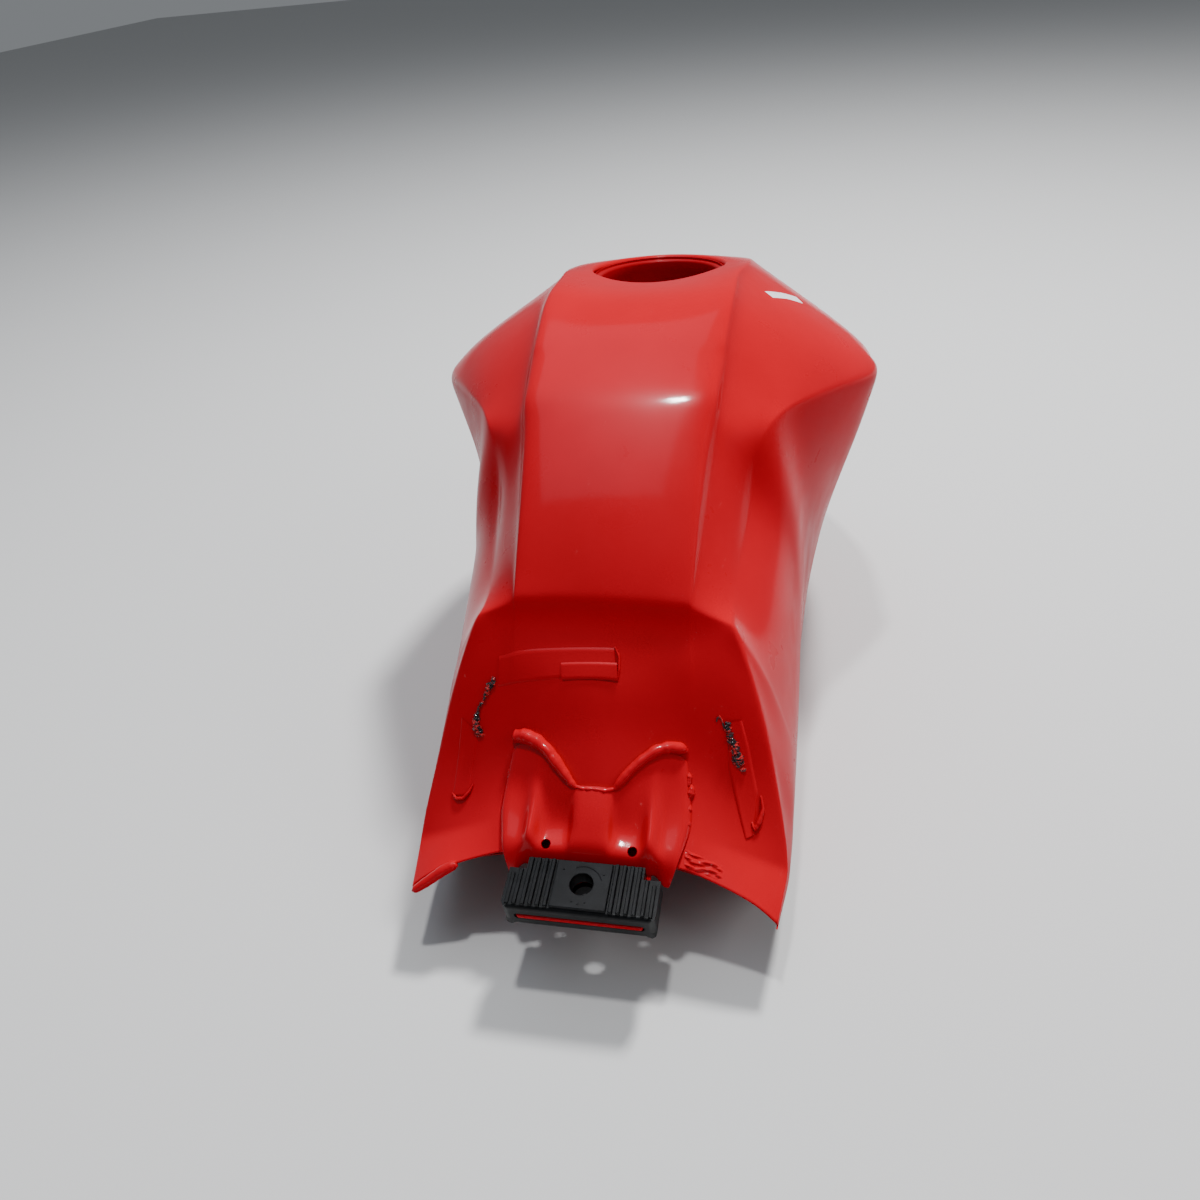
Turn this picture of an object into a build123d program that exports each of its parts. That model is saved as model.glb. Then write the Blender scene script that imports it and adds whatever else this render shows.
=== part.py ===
"""Motorcycle fuel tank: pressed steel skin, tunnel plate, filler recess, rear mounting and fittings.

X points to the bike's right, Y forwards and Z up, in millimetres. The tank stands on the lower
edges of its skirts at Z = 0, and the origin is the middle of its box at that height.
"""

import os
from math import atan, cos, radians, sin, sqrt, tan

from build123d import *

os.makedirs("parts", exist_ok=True)

# ---------------------------------------------------------------- driving dimensions
SHEET = 1.0  # steel sheet of the skin, the tunnel plate and the filler cup

# Lines of the skin's right half, front to back: y, then (x, z) of the top centre, the centre
# panel's crease, the valley beside it, the shoulder, the knee-recess edge, three points down the
# flank, and the lower edge.
SKIN_LINES = (
    (295, (0, 236), (40, 234), (55, 226), (72, 205), (86, 172), (86, 155), (82, 140), (76, 128), (66, 116)),
    (284, (0, 250), (50, 247), (66, 238), (88, 212), (106, 172), (105, 147), (99, 122), (90, 98), (78, 80)),
    (255, (0, 271), (56, 267), (73, 256), (104, 224), (128, 180), (127, 145), (120, 105), (107, 70), (90, 42)),
    (215, (0, 291), (60, 285), (77, 272), (116, 238), (146, 196), (143, 155), (132, 105), (118, 55), (103, 14)),
    (181, (0, 305), (64, 300), (81, 289), (124, 254), (157, 214), (153, 165), (138, 110), (123, 50), (112, 2)),
    (130, (0, 311), (67, 312), (83, 301), (134, 267), (164, 233), (156, 180), (138, 115), (124, 45), (115, 0)),
    (100, (0, 313), (65, 318), (81, 306), (134, 273), (166, 241), (155, 185), (136, 115), (124, 45), (116, 0)),
    (74, (0, 316), (63, 321), (79, 308), (132, 276), (165, 243), (154, 190), (134, 120), (123, 50), (116, 0)),
    (38, (0, 320), (63.5, 321), (78, 306), (120, 278), (145, 251), (141, 200), (129, 130), (122, 60), (116, 0)),
    (3, (0, 315), (62, 311.5), (75, 297), (107, 275), (124, 257), (126, 205), (124, 140), (121, 70), (116, 0)),
    (-23, (0, 306), (60, 302), (72, 287), (97, 270), (108, 260), (117, 205), (121, 145), (120, 75), (116, 0)),
    (-48, (0, 295.5), (58.5, 292), (68, 278), (86, 265), (96, 257), (112, 210), (119, 150), (120, 80), (116, 0)),
    (-64, (0, 287), (57, 284), (66, 270), (80, 256), (88.5, 238), (109, 195), (118, 140), (120, 80), (116, 0)),
    (-80, (0, 276), (54, 272), (63, 258), (77, 237), (86, 215), (108, 180), (117, 130), (120.5, 75), (117, 0)),
    (-110, (0, 252.5), (52, 247), (60, 236), (74, 213), (83, 198), (106, 165), (116, 122), (121, 72), (117, 0)),
    (-140, (0, 224), (51, 219), (58, 212), (72, 195), (81, 185), (103, 153), (115, 113), (121, 70), (118, 1)),
    (-160, (0, 200), (50, 198), (57, 195), (71, 188), (82, 182), (101, 148), (114, 108), (121, 68), (118, 3)),
    (-166, (0, 184), (50, 182), (57, 181), (71, 178), (85, 175), (101, 146), (114, 107), (121, 66), (118, 4)),
    (-178, (0, 168), (50, 165), (60, 162), (80, 157), (95, 150), (105, 126), (115, 98), (121, 63), (118, 6)),
    (-192, (0, 152), (50, 141), (62, 137), (85, 130), (103, 123), (110, 106), (116, 86), (121, 56), (118, 9)),
    (-207, (0, 130), (50, 114), (65, 109), (90, 102), (110, 96), (114, 82), (118, 66), (121, 46), (118, 15)),
    (-225, (0, 106), (50, 94), (67, 89), (95, 78), (116, 71), (118, 62), (120, 52), (120, 40), (118, 24)),
    (-240, (0, 84), (50, 82), (67, 78), (95, 66), (118, 55), (118.5, 51), (119, 46), (119, 40), (117, 34)),
)
# The rear edge bows backwards, so its line lies in a plane turned about the vertical.
REAR_Y = -256
REAR_TURN = 7.5  # degrees
REAR_LINE = ((0, 74), (50, 71.5), (67, 68), (97, 59.5), (114, 48.5), (114.4, 47.8), (114.8, 47), (115, 46), (115, 45))

# Tunnel plate, right half: y, roof height, pan height, height of the seam with the skin.
PLATE_LINES = (
    (294, 182, 128, 131),
    (255, 170, 72, 75),
    (215, 160, 46, 49),
    (130, 150, 46, 49),
    (-30, 138, 46, 49),
    (-110, 128, 46, 49),
    (-160, 116, 46, 49),
    (-200, 96, 52, 55),
    (-235, 77, 59, 54),
)
PLATE_REAR_Y = -252
PLATE_REAR_TURN = 3  # degrees; the plate stops short of the skin's edge
PLATE_REAR = ((0, 72), (36, 70.6), (47, 69.4), (54, 68.2), (93, 58.5), (108, 48), (110, 45.5))
TUNNEL_TOP = 36  # half width of the tunnel's flat roof
TUNNEL_SHOULDER = 47
TUNNEL_FOOT = 54
TUNNEL_DROP = 14  # roof to shoulder
SEAM_FLANGE = 8
SEAM_LEDGE = 15  # the pan turns up to the seam this far in

# Filler: a round recess whose mouth leans forwards.
CAP_Y = 130
CAP_Z = 310
CAP_LEAN = 5  # degrees
CUP_R = 51
CUP_LEDGE_R = 47.5
CUP_LEDGE_DEPTH = 5
CUP_DEPTH = 34
NECK_R = 21
NECK_WALL = 1.5
NECK_LENGTH = 26

# Rear mounting: a rubber cushion on a tongue that slopes down backwards.
TONGUE_SLOPE = 9.3  # degrees
RUBBER_Y = -278
RUBBER_TOP_Z = 75
BOLT_HOLE_R = 7
TONGUE_T = 3
TONGUE_HALF = 38.5

# Fuel cock, on the left pan, and fuel level sender, on the right pan.
PAN_Z = 46
COCK_X, COCK_Y = -84, -100
COCK_BOLT_SPACING = 34
COCK_AXIS_Z = 25
LEVER_REACH = 20
SENDER_X, SENDER_Y = 83, -10
SENDER_PCD = 40
STUDS = 4
FLOAT_PIVOT_Z = 106
FLOAT_REACH = 74
FLOAT_REST = 30  # degrees below level, at the lower stop
ARM_WIRE = 2.5


def between(low, high, share):
    """Point or number part of the way from low to high."""
    return low + (high - low) * share


def skin_line(y):
    """The skin's outline at y: the loft is straight between its lines."""
    rows = [*SKIN_LINES, (REAR_Y, *REAR_LINE)]
    for front, back in zip(rows, rows[1:]):
        if back[0] <= y <= front[0]:
            share = (front[0] - y) / (front[0] - back[0])
            return [
                (between(a[0], b[0], share), between(a[1], b[1], share))
                for a, b in zip(front[1:], back[1:])
            ]
    raise ValueError(f"no skin at {y}")


def top_height(x, y):
    """Height of the skin's upper side at x, y."""
    line = skin_line(y)
    for a, b in zip(line, line[1:]):
        if a[0] <= abs(x) <= b[0]:
            return between(a[1], b[1], (abs(x) - a[0]) / (b[0] - a[0]))
    raise ValueError(f"no top at {x}")


def top_slope(x, y):
    """Fall of the skin's upper side along Y, as a ratio."""
    return (top_height(x, y + 3) - top_height(x, y - 3)) / 6


def flank_inner(y, z):
    """Inside of the skin's flank at y, z."""
    flank = skin_line(y)[4:]
    for a, b in zip(flank, flank[1:]):
        if b[1] <= z <= a[1]:
            return between(a[0], b[0], (a[1] - z) / (a[1] - b[1])) - SHEET
    raise ValueError(f"no flank at {y}, {z}")


def inward(a, b):
    """Unit vector square to the stretch from a to b, into the tank."""
    dx, dz = b[0] - a[0], b[1] - a[1]
    size = sqrt(dx * dx + dz * dz)
    return dz / size, -dx / size


def inset(line, gap, lean=0.0):
    """The line moved inwards by gap with mitred corners, more where the sheet leans along Y."""
    normals = [inward(a, b) for a, b in zip(line, line[1:])]
    moved = []
    for index, point in enumerate(line):
        first = normals[max(index - 1, 0)]
        second = normals[min(index, len(normals) - 1)]
        mitre = gap / (1 + first[0] * second[0] + first[1] * second[1])
        across = 0 if index == 0 else (first[0] + second[0]) * mitre
        down = (first[1] + second[1]) * mitre
        moved.append((point[0] + across, point[1] + down / cos(lean)))
    return moved


def cross_plane(y, turn=0.0):
    """Plane across the tank at y, with X to the right and Z up, turned about the vertical."""
    angle = radians(turn)
    return Plane(origin=(0, y, 0), x_dir=(cos(angle), -sin(angle), 0), z_dir=(-sin(angle), -cos(angle), 0))


def skin_leans():
    """Lean of the top centre line at each skin line."""
    rows = [(row[0], row[1][1]) for row in SKIN_LINES] + [(REAR_Y, REAR_LINE[0][1])]
    leans = []
    for index in range(len(rows)):
        ahead = rows[max(index - 1, 0)]
        behind = rows[min(index + 1, len(rows) - 1)]
        leans.append(atan(abs(ahead[1] - behind[1]) / (ahead[0] - behind[0])))
    return leans


def outer_edges(line):
    """Straight centre panel, smooth shoulder, smooth flank."""
    Line(line[0], line[1])
    Spline(*line[1:5])
    Spline(*line[4:])


def skin_section(line, gap, lean):
    """Closed outline of the sheet at one skin line."""
    inner = inset(line, gap, lean)
    outer_edges(line)
    Line(line[-1], inner[-1])
    Spline(*reversed(inner[4:]))
    Spline(*reversed(inner[1:5]))
    Line(inner[1], inner[0])
    Line(inner[0], line[0])


def plate_line(y, roof, pan, seam):
    """Right half of the tunnel plate at y."""
    return [
        (0, roof),
        (TUNNEL_TOP, roof),
        (TUNNEL_SHOULDER if y < 280 else 42, roof - TUNNEL_DROP),
        (TUNNEL_FOOT if y < 280 else 50, pan),
        (flank_inner(y, seam) - SEAM_LEDGE, pan),
        (flank_inner(y, seam) - 1, seam),
        (flank_inner(y, seam - SEAM_FLANGE) - 0.2, seam - SEAM_FLANGE),
    ]


def save(part, name):
    """Write one named piece."""
    part.label = name
    export_step(part, f"parts/{name}.step")
    print(f"{name:24s} {len(part.solids())} solid(s) {part.volume / 1000:9.2f} cm3")


# ---------------------------------------------------------------- skin halves
cap_plane = Plane(
    origin=(0, CAP_Y, CAP_Z),
    x_dir=(1, 0, 0),
    z_dir=(0, sin(radians(CAP_LEAN)), cos(radians(CAP_LEAN))),
)
cup_profile_plane = Plane(origin=cap_plane.origin, x_dir=(1, 0, 0), z_dir=-cap_plane.y_dir)

with BuildPart() as right_shell:
    leans = skin_leans()
    for row, lean in zip(SKIN_LINES, leans):
        with BuildSketch(cross_plane(row[0])):
            with BuildLine():
                skin_section(row[1:], SHEET, lean)
            make_face()
    with BuildSketch(cross_plane(REAR_Y, REAR_TURN)):
        with BuildLine():
            skin_section(REAR_LINE, SHEET, leans[-1])
        make_face()
    loft(ruled=True)
    # front wall, open below for the tunnel
    with BuildSketch(cross_plane(SKIN_LINES[0][0])):
        with BuildLine():
            nose = SKIN_LINES[0][1:]
            nose_plate = plate_line(*PLATE_LINES[0])
            outer_edges(nose)
            Polyline(nose[-1], *reversed(nose_plate[:4]))
            Line(nose_plate[0], nose[0])
        make_face()
    extrude(amount=SHEET)
    # half of the filler hole
    with BuildSketch(cap_plane.offset(-40)):
        Circle(CUP_R)
    extrude(amount=60, mode=Mode.SUBTRACT)

save(right_shell.part, "right_shell")

with BuildPart() as left_shell:
    mirror(right_shell.part, about=Plane.YZ)
save(left_shell.part, "left_shell")

# ---------------------------------------------------------------- tunnel plate
cock_plane = Plane.XY.offset(PAN_Z + 10)
COCK_SPOT = (COCK_X, COCK_Y)
SENDER_SPOT = (SENDER_X, SENDER_Y)
COCK_BOLTS = [(COCK_X, COCK_Y - COCK_BOLT_SPACING / 2), (COCK_X, COCK_Y + COCK_BOLT_SPACING / 2)]
DRAIN_X, DRAIN_Y = 28, 108
DRAIN_R = 3.5
COCK_PORT_R = 9
SENDER_PORT_R = 18
STUD_CLEARANCE_R = 2.8


def at_studs():
    """The places of the sender's studs."""
    return PolarLocations(SENDER_PCD / 2, STUDS, start_angle=45)



with BuildPart() as tunnel_plate:
    for row in PLATE_LINES:
        upper = plate_line(*row)
        with BuildSketch(cross_plane(row[0])):
            with BuildLine():
                Polyline(*upper, *reversed(inset(upper, SHEET)), upper[0])
            make_face()
    with BuildSketch(cross_plane(PLATE_REAR_Y, PLATE_REAR_TURN)):
        with BuildLine():
            Polyline(*PLATE_REAR, *reversed(inset(PLATE_REAR, SHEET)), PLATE_REAR[0])
        make_face()
    loft(ruled=True)
    mirror(about=Plane.YZ)
    with BuildSketch(cock_plane):
        with Locations(COCK_SPOT):
            Circle(COCK_PORT_R)
        with Locations(*COCK_BOLTS):
            Circle(3.6)
        with Locations(SENDER_SPOT):
            Circle(SENDER_PORT_R)
            with at_studs():
                Circle(STUD_CLEARANCE_R)
    extrude(amount=-20, mode=Mode.SUBTRACT)
    # the drain pipe leaves through the roof
    with BuildSketch(Plane.XY.offset(160)):
        with Locations((DRAIN_X, DRAIN_Y)):
            Circle(DRAIN_R)
    extrude(amount=-40, mode=Mode.SUBTRACT)

save(tunnel_plate.part, "tunnel_plate")

# ---------------------------------------------------------------- filler recess
with BuildPart() as filler_cup:
    # pressed cup: rounded mouth, a ledge for the cap's seal, a straight wall and a floor
    with BuildSketch(cup_profile_plane):
        with BuildLine():
            Polyline(
                (CUP_R, 0.5),
                (CUP_R, -CUP_LEDGE_DEPTH - SHEET),
                (CUP_LEDGE_R + SHEET, -CUP_LEDGE_DEPTH - SHEET),
                (CUP_LEDGE_R + SHEET, -CUP_DEPTH - SHEET),
                (NECK_R + NECK_WALL, -CUP_DEPTH - SHEET),
                (NECK_R + NECK_WALL, -CUP_DEPTH),
                (CUP_LEDGE_R, -CUP_DEPTH),
                (CUP_LEDGE_R, -CUP_LEDGE_DEPTH),
                (CUP_R - SHEET, -CUP_LEDGE_DEPTH),
                (CUP_R - SHEET, 0.5),
                (CUP_R, 0.5),
            )
        make_face()
    revolve(axis=Axis(cap_plane.origin, cap_plane.z_dir))
    with BuildSketch(Plane.XY.offset(CAP_Z - CUP_DEPTH + 20)):
        with Locations((DRAIN_X, DRAIN_Y)):
            Circle(DRAIN_R)
    extrude(amount=-50, mode=Mode.SUBTRACT)

save(filler_cup.part, "filler_cup")

with BuildPart() as filler_neck:
    # plain tube, flush with the recess floor
    with BuildSketch(cap_plane.offset(-CUP_DEPTH)):
        Circle(NECK_R + NECK_WALL)
        Circle(NECK_R, mode=Mode.SUBTRACT)
    extrude(amount=-NECK_LENGTH)

save(filler_neck.part, "filler_neck")

with BuildPart() as recess_drain_pipe:
    # carries spilt fuel and rain from the recess down into the tunnel
    with BuildSketch(Plane.XY.offset(CAP_Z - CUP_DEPTH + (DRAIN_Y - CAP_Y) * -tan(radians(CAP_LEAN)) - 1)):
        with Locations((DRAIN_X, DRAIN_Y)):
            Circle(DRAIN_R)
            Circle(DRAIN_R - 1, mode=Mode.SUBTRACT)
    extrude(amount=-150)

save(recess_drain_pipe.part, "recess_drain_pipe")

# ---------------------------------------------------------------- front mountings
MOUNT_LENGTH = 46
MOUNT_WIDTH = 17
FRONT_MOUNT_Y = 236
FRONT_MOUNT_Z = 112
MOUNT_SLOT = 20  # opens forwards, over the frame's rubber damper
MOUNT_T = 2.5
MOUNT_INNER_X = 31
for side, name in ((1, "front_mount_right"), (-1, "front_mount_left")):
    with BuildPart() as front_mount:
        with BuildSketch(Plane.YZ.offset(side * MOUNT_INNER_X)):
            with Locations((FRONT_MOUNT_Y, FRONT_MOUNT_Z)):
                SlotOverall(MOUNT_LENGTH, MOUNT_SLOT + 2 * MOUNT_T)
            with Locations((FRONT_MOUNT_Y + MOUNT_LENGTH / 2, FRONT_MOUNT_Z)):
                Rectangle(25, MOUNT_SLOT + 2 * MOUNT_T, mode=Mode.SUBTRACT)
        extrude(amount=side * MOUNT_WIDTH)
        with BuildSketch(Plane.YZ.offset(side * MOUNT_INNER_X)):
            with Locations((FRONT_MOUNT_Y, FRONT_MOUNT_Z)):
                SlotOverall(MOUNT_LENGTH - 2 * MOUNT_T, MOUNT_SLOT)
            with Locations((FRONT_MOUNT_Y + MOUNT_LENGTH / 2, FRONT_MOUNT_Z)):
                Rectangle(MOUNT_LENGTH, MOUNT_SLOT)
        extrude(amount=side * (MOUNT_WIDTH - MOUNT_T), mode=Mode.SUBTRACT)
    save(front_mount.part, name)

# ---------------------------------------------------------------- rear bracket
BRACKET_T = 2
# Columns of the pressed bracket: x, how far it stands off the skin, then y of its top edge and of
# three points below. The middle rib and a rib on each side stand prouder.
BRACKET_COLUMNS = (
    (0, 7.5, (-226, -236, -246)),
    (11, 7.0, (-226, -236, -246)),
    (17, 3.2, (-223, -234, -245)),
    (30, 3.0, (-213, -230, -243)),
    (37, 6.5, (-210, -228, -242)),
    (44, 3.0, (-207, -226, -241)),
    (54, 2.6, (-206, -222, -238)),
)
KNEE_Y, KNEE_Z = -257, 78  # where the bracket bends down to the tongue
FOOT_Y, FOOT_Z = -260.5, 69.5
SKIRT_TOP_Z, SKIRT_FOOT_Z = 75, 62
SCREW_HOLES_X, SCREW_HOLES_Y = 27, -252
SCREW_HOLE_R = 3


def stand_off(x, y, height):
    """Height of a surface that stands off the skin by height, measured square to it."""
    return top_height(x, y) + height * sqrt(1 + top_slope(x, y) ** 2)


def bracket_column(column):
    """Outline of the bracket's sheet at one x: outer side, then inner side."""
    x, proud, rows = column
    outer = [(y, stand_off(x, y, min(proud, 2.4 if y == rows[0] else proud))) for y in rows]
    outer.append((KNEE_Y, KNEE_Z if x < 50 else SKIRT_TOP_Z))
    outer.append((FOOT_Y, FOOT_Z if x < 50 else SKIRT_FOOT_Z))
    inner = [(y + BRACKET_T * 0.85, z - BRACKET_T * 0.55) for y, z in outer]
    return outer, inner


tongue_plane = Plane(
    origin=(0, RUBBER_Y, RUBBER_TOP_Z),
    x_dir=(1, 0, 0),
    z_dir=(0, -sin(radians(TONGUE_SLOPE)), cos(radians(TONGUE_SLOPE))),
)
TONGUE_TOP = -8.5  # under the cushion's top face
SCREW_LEAN = 32  # degrees: the holes are square to the sheet
screw_plane = Plane(
    origin=(0, SCREW_HOLES_Y, stand_off(SCREW_HOLES_X, SCREW_HOLES_Y, 2.8)),
    x_dir=(1, 0, 0),
    z_dir=(0, -sin(radians(SCREW_LEAN)), cos(radians(SCREW_LEAN))),
)

with BuildPart() as rear_bracket:
    for column in BRACKET_COLUMNS:
        outer, inner = bracket_column(column)
        with BuildSketch(Plane.YZ.offset(column[0])):
            with BuildLine():
                Polyline(*outer, *reversed(inner), outer[0])
            make_face()
    loft(ruled=True)
    mirror(about=Plane.YZ)
    # tongue with the bolt hole
    with BuildSketch(tongue_plane.offset(TONGUE_TOP)):
        with Locations((0, 1.5)):
            RectangleRounded(2 * TONGUE_HALF, 38, 2)
    extrude(amount=-TONGUE_T)
    with BuildSketch(tongue_plane.offset(2)):
        Circle(BOLT_HOLE_R + 2)
    extrude(amount=-22, mode=Mode.SUBTRACT)
    # two holes for the side panels' screws
    with BuildSketch(screw_plane.offset(6)):
        with Locations((SCREW_HOLES_X, 0), (-SCREW_HOLES_X, 0)):
            Circle(SCREW_HOLE_R)
    extrude(amount=-14, mode=Mode.SUBTRACT)

save(rear_bracket.part, "rear_bracket")

with BuildPart() as bracket_welds:
    # hand-laid bead along the bracket's top edge, dipping into a notch in the middle
    bead = [(x, y, stand_off(x, y, 2.2)) for x, y in ((53, -206), (44, -205), (30, -211), (17, -221), (13, -225))]
    for side in (1, -1):
        with BuildLine():
            path = FilletPolyline(*[(side * x, y, z) for x, y, z in bead], radius=8)
        with BuildSketch(Plane(origin=path @ 0, z_dir=path % 0)):
            Circle(2)
        sweep(path=path)
    with BuildLine():
        across = Line((-13, -225, bead[-1][2]), (13, -225, bead[-1][2]))
    with BuildSketch(Plane(origin=across @ 0, z_dir=across % 0)):
        Circle(2)
    sweep(path=across)

save(bracket_welds.part, "bracket_welds")

# ---------------------------------------------------------------- rear cushion
RUBBER_HALF = 46
RUBBER_THICK = 20
RIB_PITCH = 4.6
with BuildPart() as rear_cushion:
    with BuildSketch(tongue_plane.offset(-RUBBER_THICK)):
        with BuildLine():
            Polyline(
                (-36, 16), (36, 16), (36, 8), (RUBBER_HALF, 8), (RUBBER_HALF, -17.5),
                (-RUBBER_HALF, -17.5), (-RUBBER_HALF, 8), (-36, 8), (-36, 16),
            )
        make_face()
    extrude(amount=RUBBER_THICK - 2)
    fillet(rear_cushion.edges().filter_by(Axis.X).group_by(Axis.Y)[0], radius=4)
    # centre pad and fore-and-aft ribs
    with BuildSketch(tongue_plane.offset(-2)):
        with Locations((0, -1)):
            Rectangle(34, 32)
        with Locations(*[(side * (19 + RIB_PITCH * step), -1) for side in (1, -1) for step in range(4)]):
            Rectangle(2.4, 32)
        with Locations(*[(side * (21 + RIB_PITCH * 4 + 2), -4) for side in (1, -1)]):
            Rectangle(2.4, 24)
    extrude(amount=2)
    # slot for the tongue, left whole round the bolt hole
    with BuildSketch(tongue_plane.offset(TONGUE_TOP + 0.1)):
        with Locations((0, 2)):
            Rectangle(2 * TONGUE_HALF + 0.6, 44)
        Circle(BOLT_HOLE_R + 1.9, mode=Mode.SUBTRACT)
    extrude(amount=-TONGUE_T - 0.2, mode=Mode.SUBTRACT)
    with BuildSketch(tongue_plane.offset(1)):
        Circle(BOLT_HOLE_R)
    extrude(amount=-RUBBER_THICK - 2, mode=Mode.SUBTRACT)

save(rear_cushion.part, "rear_cushion")

# ---------------------------------------------------------------- fuel cock
PAN_UNDER = PAN_Z - SHEET
GASKET_T = 1.5
COCK_FLANGE_T = 5
BARREL_R = 12
BARREL_HALF = 9  # along X
SHAFT_R = 5
SHAFT_CLEARANCE = 0.05
STANDPIPE_SEAT = 4
cock_under = PAN_UNDER - GASKET_T
cock_face_x = COCK_X - BARREL_HALF
RETAINER_SCREW_REACH = 8.6
RETAINER_SCREWS = [(COCK_Y + way * RETAINER_SCREW_REACH, COCK_AXIS_Z) for way in (-1, 1)]
FLANGE_LENGTH = 52
FLANGE_WIDTH = 24
BOLT_CLEARANCE_R = 3.2
NIPPLE_R = 3.5
NIPPLE_BARB_R = 4.4
NIPPLE_BORE_R = 2
NIPPLE_LENGTH = 34
STANDPIPE_R = 3
LEVER_GAP = 0.3
RETAINER_T = 1.2


def cock_outline(length, width):
    """Rounded outline of the cock's flange, long along Y."""
    with Locations(COCK_SPOT):
        SlotOverall(length, width, rotation=90)


with BuildPart() as cock_boss:
    # threaded plate inside the tank, welded to the pan
    with BuildSketch(Plane.XY.offset(PAN_Z)):
        cock_outline(FLANGE_LENGTH + 2, FLANGE_WIDTH + 2)
        with Locations(COCK_SPOT):
            Circle(9, mode=Mode.SUBTRACT)
        with Locations(*COCK_BOLTS):
            Circle(3.05, mode=Mode.SUBTRACT)
    extrude(amount=5)
save(cock_boss.part, "cock_boss")

with BuildPart() as cock_gasket:
    with BuildSketch(Plane.XY.offset(cock_under)):
        cock_outline(FLANGE_LENGTH, FLANGE_WIDTH)
        with Locations(COCK_SPOT):
            Circle(7, mode=Mode.SUBTRACT)
        with Locations(*COCK_BOLTS):
            Circle(BOLT_CLEARANCE_R, mode=Mode.SUBTRACT)
    extrude(amount=GASKET_T)
save(cock_gasket.part, "cock_gasket")

with BuildPart() as cock_body:
    with BuildSketch(Plane.XY.offset(cock_under - COCK_FLANGE_T)):
        cock_outline(FLANGE_LENGTH, FLANGE_WIDTH)
        with Locations(*COCK_BOLTS):
            Circle(BOLT_CLEARANCE_R, mode=Mode.SUBTRACT)
    extrude(amount=COCK_FLANGE_T)
    # valve barrel, across the bike
    with BuildSketch(Plane.YZ.offset(cock_face_x)):
        with Locations((COCK_Y, COCK_AXIS_Z)):
            Circle(BARREL_R)
    extrude(amount=2 * BARREL_HALF)
    with BuildSketch(Plane.XY.offset(COCK_AXIS_Z)):
        with Locations(COCK_SPOT):
            Circle(8)
    extrude(amount=cock_under - COCK_AXIS_Z)
    # hose nipple with a barb, pointing backwards
    nipple_plane = Plane(origin=(COCK_X + 3, COCK_Y, COCK_AXIS_Z - 4), x_dir=(1, 0, 0), z_dir=(0, -1, 0))
    with BuildSketch(nipple_plane):
        Circle(NIPPLE_R)
    extrude(amount=NIPPLE_LENGTH)
    with BuildSketch(nipple_plane.offset(NIPPLE_LENGTH - 7)):
        Circle(NIPPLE_BARB_R)
    with BuildSketch(nipple_plane.offset(NIPPLE_LENGTH - 1)):
        Circle(NIPPLE_R - 0.1)
    loft()
    # seat of the standpipe, fuel passage and the lever's bore
    with BuildSketch(Plane.XY.offset(cock_under - STANDPIPE_SEAT)):
        with Locations(COCK_SPOT):
            Circle(STANDPIPE_R)
    extrude(amount=10, mode=Mode.SUBTRACT)
    with BuildSketch(nipple_plane):
        Circle(NIPPLE_BORE_R)
    extrude(amount=NIPPLE_LENGTH, mode=Mode.SUBTRACT)
    with BuildSketch(Plane.XY.offset(COCK_AXIS_Z)):
        with Locations(COCK_SPOT):
            Circle(2.5)
    extrude(amount=30, mode=Mode.SUBTRACT)
    with BuildSketch(Plane.YZ.offset(cock_face_x)):
        with Locations((COCK_Y, COCK_AXIS_Z)):
            Circle(SHAFT_R + SHAFT_CLEARANCE)
    extrude(amount=10, mode=Mode.SUBTRACT)
    with BuildSketch(Plane.YZ.offset(cock_face_x)):
        with Locations(*RETAINER_SCREWS):
            Circle(1.25)
    extrude(amount=7, mode=Mode.SUBTRACT)
save(cock_body.part, "cock_body")

# The lever turns in the barrel behind its retaining plate: its hub is stepped.
with BuildPart() as cock_lever:
    with BuildSketch(Plane.YZ.offset(cock_face_x - LEVER_GAP)):
        with Locations((COCK_Y, COCK_AXIS_Z)):
            Circle(SHAFT_R)
    extrude(amount=9)
    with BuildSketch(Plane.YZ.offset(cock_face_x - LEVER_GAP)):
        with Locations((COCK_Y, COCK_AXIS_Z)):
            Circle(6)
    extrude(amount=-6)
    with BuildSketch(Plane.YZ.offset(cock_face_x - 3.2)):
        with Locations((COCK_Y, COCK_AXIS_Z)):
            Circle(8)
        with Locations((COCK_Y - LEVER_REACH / 2, COCK_AXIS_Z)):
            SlotOverall(LEVER_REACH, 7)
    extrude(amount=-5)
    fillet(cock_lever.edges().group_by(Axis.X)[0], radius=1)
save(cock_lever.part, "cock_lever")

with BuildPart() as cock_lever_plate:
    with BuildSketch(Plane.YZ.offset(cock_face_x - 0.1)):
        with Locations((COCK_Y, COCK_AXIS_Z)):
            SlotOverall(25, 15)
            Circle(6.4, mode=Mode.SUBTRACT)
        with Locations(*RETAINER_SCREWS):
            Circle(1.5, mode=Mode.SUBTRACT)
    extrude(amount=-RETAINER_T)
save(cock_lever_plate.part, "cock_lever_plate")

with BuildPart() as cock_screws:
    # flat-headed, so that the lever sweeps over them
    with BuildSketch(Plane.YZ.offset(cock_face_x - 1.3)):
        with Locations(*RETAINER_SCREWS):
            Circle(2.1)
    extrude(amount=-1.1)
    with BuildSketch(Plane.YZ.offset(cock_face_x - 1.3)):
        with Locations(*RETAINER_SCREWS):
            Circle(1.2)
    extrude(amount=7)
    with BuildSketch(Plane.YZ.offset(cock_face_x - 2.4)):
        with Locations(*RETAINER_SCREWS):
            Rectangle(0.6, 4.4)
    extrude(amount=0.5, mode=Mode.SUBTRACT)
save(cock_screws.part, "cock_screws")

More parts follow.
